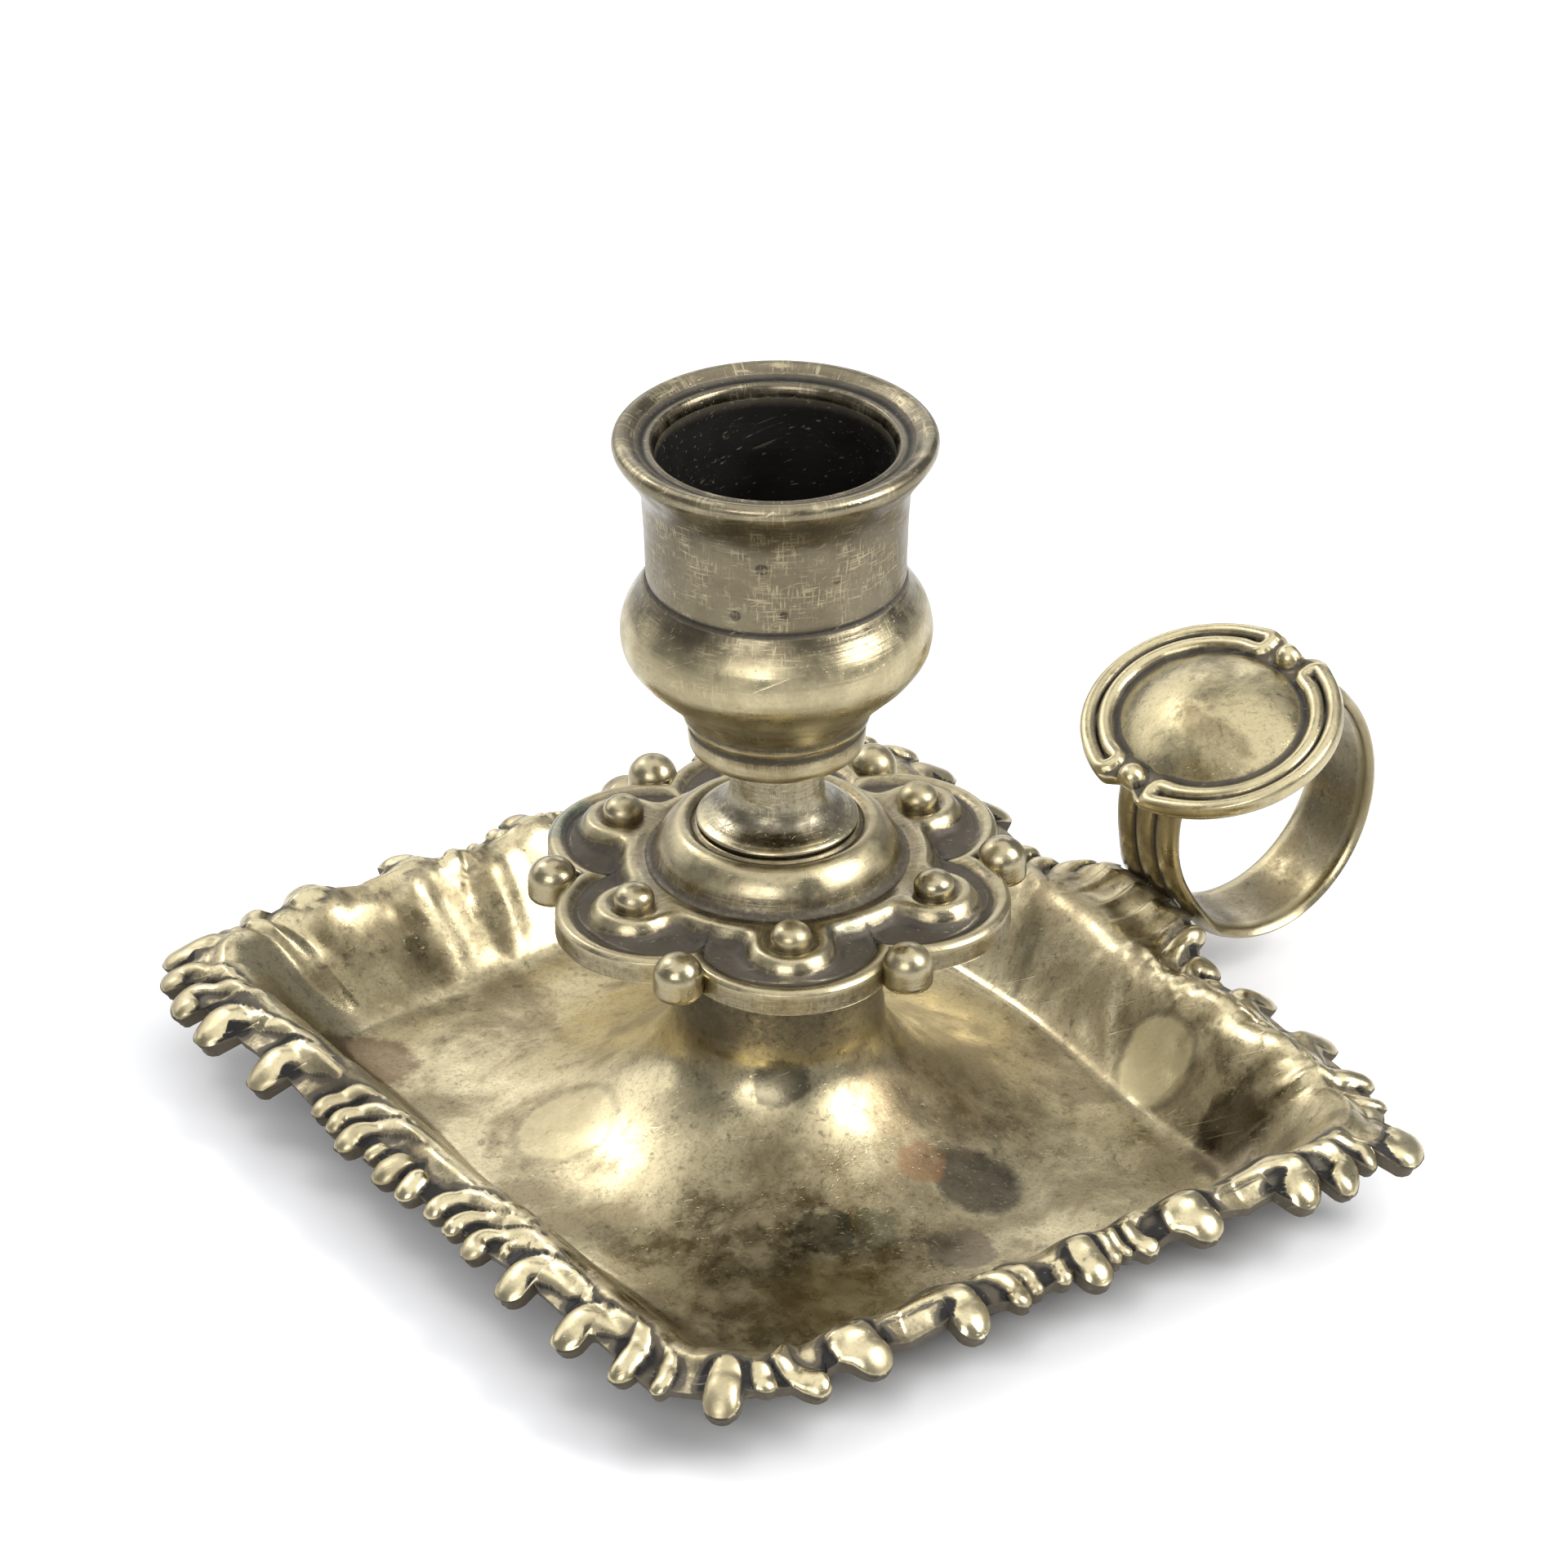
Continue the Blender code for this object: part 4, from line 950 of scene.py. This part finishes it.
def brass(name, clean=CLEAN_BRASS, tarnish=TARNISHED, cloud=(0.09, 0.45, 0.62), depths=(0.10, 0.10), spots=(),
          lathe=0.0, scratches=0.5, grain=0.25):
    """Aged brass. Every spot is (centre, radius, raggedness, colour, strength,
    rim strength). Lathe and scratches weigh marks and bumps, and grain the pores."""
    material, tree, shader, place = start_finish(name)
    film = use(tree, TARNISH, {
        "Place": place, "Clean": (*clean, 1), "Tarnish": (*tarnish, 1), "Grime": (*GRIME_AND_SHADE, 1),
        "Bright": (*BRIGHT_EDGE, 1), "Cloud Size": cloud[0], "Cloud Low": cloud[1], "Cloud High": cloud[2],
        "Hollow Depth": depths[0], "Edge Depth": depths[1]})
    colour = film["Color"]
    clear = math_node(tree, "SUBTRACT", 1.0, film["Hollow"])
    for centre, radius, ragged, tint, strength, rim in spots:
        spot = use(tree, SPOT, {"Place": place, "Centre": centre, "Radius": radius, "Ragged": ragged})
        colour = blend(tree, product(tree, spot["Mask"], strength, clear), colour, tint)
        colour = blend(tree, product(tree, spot["Rim"], rim), colour, GRIME_AND_SHADE)
    hair = [use(tree, SCRATCHES, {"Place": place, "Stretch": stretch, "Turn": turn, "Low": low})[0]
            for stretch, turn, low in (((0.025, 3.0, 3.0), (0.4, 0.2, 0.6), 0.65),
                                       ((2.6, 0.03, 2.6), (0.3, 0.5, -0.5), 0.66))]
    hairs = math_node(tree, "MAXIMUM", *hair)
    colour = blend(tree, product(tree, hairs, 0.35 * scratches), colour, BRIGHT_EDGE)
    tool = use(tree, LATHE, {"Place": place, "Fineness": 3.2})
    colour = blend(tree, product(tree, tool["Hatch"], lathe, clear), colour, BRIGHT_EDGE)
    pores = noise(tree, place, 2.4, 5.0, 0.65)
    height = product(tree, tool["Lines"], lathe)
    height = math_node(tree, "ADD", height, product(tree, hairs, -0.5 * scratches))
    height = math_node(tree, "ADD", height, product(tree, pores, grain))
    bump = put(tree, "ShaderNodeBump", {"Height": height, "Strength": 0.35, "Distance": 0.00012})
    link(tree, {"Base Color": colour, "Roughness": film["Roughness"], "Metallic": film["Metal"],
                "Normal": bump.outputs[0]}, shader)
    return material


def steel(name):
    """Dull oiled steel for the fixings under the bell."""
    material, tree, shader, place = start_finish(name)
    rust = use(tree, BLOTCHES, {"Place": place, "Size": 0.5, "Low": 0.5, "High": 0.68})[0]
    link(tree, {"Base Color": blend(tree, rust, (0.30, 0.29, 0.27), (0.11, 0.06, 0.035)),
                "Roughness": ramp(tree, rust, 0, 1, 0.4, 0.75),
                "Metallic": ramp(tree, rust, 0, 1, 1.0, 0.4)}, shader)
    return material


# Spots: (centre, radius, raggedness, colour, strength, strength of the rim). Most are
# stains; one on the tray is painted shade.
TRAY_SPOTS = [
    ((7.5, -22.3, 2.6), 4.2, 2.4, (0.085, 0.07, 0.05), 0.85, 0.3),
    ((3.5, -18.5, 4.0), 2.6, 3.0, COPPER_FILM, 0.55, 0.0),
    ((-9.5, -21.5, 3.0), 2.9, 6.5, (0.08, 0.08, 0.055), 0.7, 0.1),
    ((-5.5, -23.0, 2.2), 2.6, 6.0, GREEN_FILM, 0.4, 0.0),
    ((0.5, -29.5, 1.5), 3.4, 3.0, (0.16, 0.13, 0.09), 0.7, 0.1),
    ((-10.0, -15.8, 5.9), 0.75, 0.4, (0.22, 0.08, 0.04), 0.9, 0.0),
    ((30.0, -31.0, 4.5), 4.6, 3.5, (0.07, 0.05, 0.03), 0.75, 0.2),
    ((31.0, -17.5, 5.5), 5.0, 1.6, (0.52, 0.45, 0.26), 0.8, 0.35),
    ((-19.5, 7.0, 3.2), 5.4, 1.8, (0.48, 0.42, 0.25), 0.4, 0.25),
    ((-27.5, 30.0, 4.0), 5.5, 4.0, (0.13, 0.08, 0.045), 0.75, 0.0),
    ((-5.6, -8.6, 11.3), 2.6, 2.4, (0.09, 0.08, 0.055), 0.75, 0.0),
    ((8.0, -13.0, 7.0), 6.5, 7.0, (0.36, 0.24, 0.12), 0.2, 0.0),
    # Painted shade: the bell's neck darkened under the drip plate.
    ((0.0, 0.0, 18.5), 11.5, 1.5, (0.08, 0.068, 0.045), 0.75, 0.0),
    ((-14.0, -30.0, 1.8), 7.0, 8.0, (0.36, 0.29, 0.13), 0.5, 0.0),
    ((-17.0, -14.0, 4.0), 1.1, 1.0, (0.55, 0.49, 0.30), 0.8, 0.3),
]
PLATE_SPOTS = [
    ((-12.0, 19.5, 28.7), 4.2, 4.0, (0.17, 0.20, 0.17), 0.6, 0.0),
    ((-3.0, -15.5, 28.7), 3.0, 4.0, (0.10, 0.12, 0.10), 0.5, 0.0),
]
SOCKET_SPOTS = [
    # The first two darken the socket's wall and rim above the bulb.
    ((0.0, 0.0, 84.0), 20.0, 2.0, (0.12, 0.10, 0.07), 0.7, 0.0),
    ((0.0, 0.0, 67.0), 16.6, 3.0, (0.105, 0.088, 0.062), 0.8, 0.0),
    ((-7.8, -9.2, 67.4), 0.6, 0.5, (0.05, 0.04, 0.03), 0.9, 0.0),
    ((-6.2, -10.4, 62.6), 0.45, 0.6, (0.05, 0.04, 0.03), 0.9, 0.0),
    ((-9.6, -7.4, 62.3), 0.6, 0.4, (0.05, 0.04, 0.03), 0.8, 0.0),
    ((-1.5, -12.0, 65.5), 0.35, 1.2, (0.06, 0.045, 0.03), 0.7, 0.0),
]


# -------------------------------------------------------------- camera, stage

def make_camera():
    """Long lens, a third of a right angle above the table."""
    azimuth, elevation, roll = (math.radians(a) for a in (-34.392, 30.256, -0.254))
    back = Vector((math.sin(azimuth) * math.cos(elevation), -math.cos(azimuth) * math.cos(elevation),
                   math.sin(elevation)))
    right = Vector((math.cos(azimuth), math.sin(azimuth), 0))
    up = back.cross(right)
    right, up = (math.cos(roll) * right + math.sin(roll) * up, math.cos(roll) * up - math.sin(roll) * right)
    aim = Vector((STEM_X, 0, 37.91)) + 0.640 * Vector((math.cos(azimuth), math.sin(azimuth), 0))
    data = bpy.data.cameras.new("camera")
    data.sensor_width = 36.0
    data.lens = 176.9
    data.clip_start, data.clip_end = 0.05, 20.0
    camera = bpy.data.objects.new("camera", data)
    bpy.context.scene.collection.objects.link(camera)
    camera.location = (aim + 720.45 * back) * MM
    camera.rotation_mode = "QUATERNION"
    camera.rotation_quaternion = Matrix((right, up, back)).transposed().to_quaternion()
    bpy.context.scene.camera = camera


def make_stage():
    """Pale floor that runs well past the view, a tenth of a millimetre below the
    table face so that the two don't lie in one plane."""
    mesh = bpy.data.meshes.new("floor")
    corners = [(-4.0, -4.0, 0), (4.0, -4.0, 0), (4.0, 4.0, 0), (-4.0, 4.0, 0)]
    mesh.from_pydata(corners, [], [(0, 1, 2, 3)])
    floor = bpy.data.objects.new("floor", mesh)
    bpy.context.scene.collection.objects.link(floor)
    floor.location.z = -0.0001
    material = bpy.data.materials.new("white_paper")
    material.use_nodes = True
    shader = material.node_tree.nodes["Principled BSDF"]
    shader.inputs["Base Color"].default_value = (0.78, 0.78, 0.785, 1)
    shader.inputs["Roughness"].default_value = 0.7
    mesh.materials.append(material)


def add_light(name, place, aim, size, power):
    """Rectangular light at a place, turned to face a point."""
    data = bpy.data.lights.new(name, "AREA")
    data.shape = "RECTANGLE"
    data.size, data.size_y = size
    data.energy = power
    light = bpy.data.objects.new(name, data)
    bpy.context.scene.collection.objects.link(light)
    light.location = place
    light.rotation_mode = "QUATERNION"
    light.rotation_quaternion = (Vector(aim) - Vector(place)).to_track_quat("-Z", "Y")


def make_lights():
    """A wide soft box overhead, a small key light and a long sweep behind, and a
    window and a box on the left and the right of the camera, in a pale room."""
    add_light("overhead", (0.0, 0.0, 1.3), (0, 0, 0), (1.8, 1.8), 14.5)
    add_light("key", (-0.20, 0.66, 0.68), (0, 0, 0.03), (0.22, 0.22), 1.9)
    add_light("sweep", (0.12, 1.08, 0.56), (0, 0, 0.02), (2.4, 0.62), 7.8)
    add_light("window", (-0.72, -0.56, 0.55), (0, 0, 0.04), (0.6, 0.45), 4.3)
    add_light("right_box", (0.49, -0.59, 0.64), (0, 0, 0.04), (0.45, 0.45), 10.0)
    world = bpy.data.worlds.new("room")
    world.use_nodes = True
    world.node_tree.nodes["Background"].inputs[0].default_value = (0.93, 0.95, 1.0, 1)
    world.node_tree.nodes["Background"].inputs[1].default_value = 0.36
    bpy.context.scene.world = world
    bpy.context.scene.view_settings.view_transform = "Standard"


def dress_fixings():
    """The rod, washer and nut keep their CAD shapes and get finishes."""
    fixing_steel = steel("oiled_steel")
    washer_brass = brass("washer_brass", grain=0.4)
    for node, material in (("tie_rod", fixing_steel), ("nut", fixing_steel), ("washer", washer_brass)):
        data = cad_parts[node].data
        data.materials.clear()
        data.materials.append(material)


make_camera()
make_stage()
make_lights()
make_tray(brass("tray_brass", clean=(0.50, 0.43, 0.265), tarnish=(0.28, 0.23, 0.135), spots=TRAY_SPOTS))
make_drip_plate(brass("plate_brass", clean=(0.175, 0.146, 0.094), cloud=(0.16, 0.42, 0.6),
                      depths=(0.08, 0.08), spots=PLATE_SPOTS, lathe=0.3))
make_collar(brass("collar_brass", clean=(0.27, 0.24, 0.165), cloud=(0.3, 0.55, 0.7), lathe=0.6,
                  scratches=0.9))
make_socket(brass("socket_brass", clean=(0.42, 0.365, 0.225), cloud=(0.11, 0.40, 0.60), spots=SOCKET_SPOTS,
                  lathe=0.5, scratches=0.8))
make_finger_ring(brass("ring_brass", clean=(0.23, 0.195, 0.12), cloud=(0.14, 0.42, 0.62)))
make_thumb_plate(brass("thumb_brass", clean=(0.42, 0.36, 0.21), cloud=(0.12, 0.5, 0.66)))
dress_fixings()
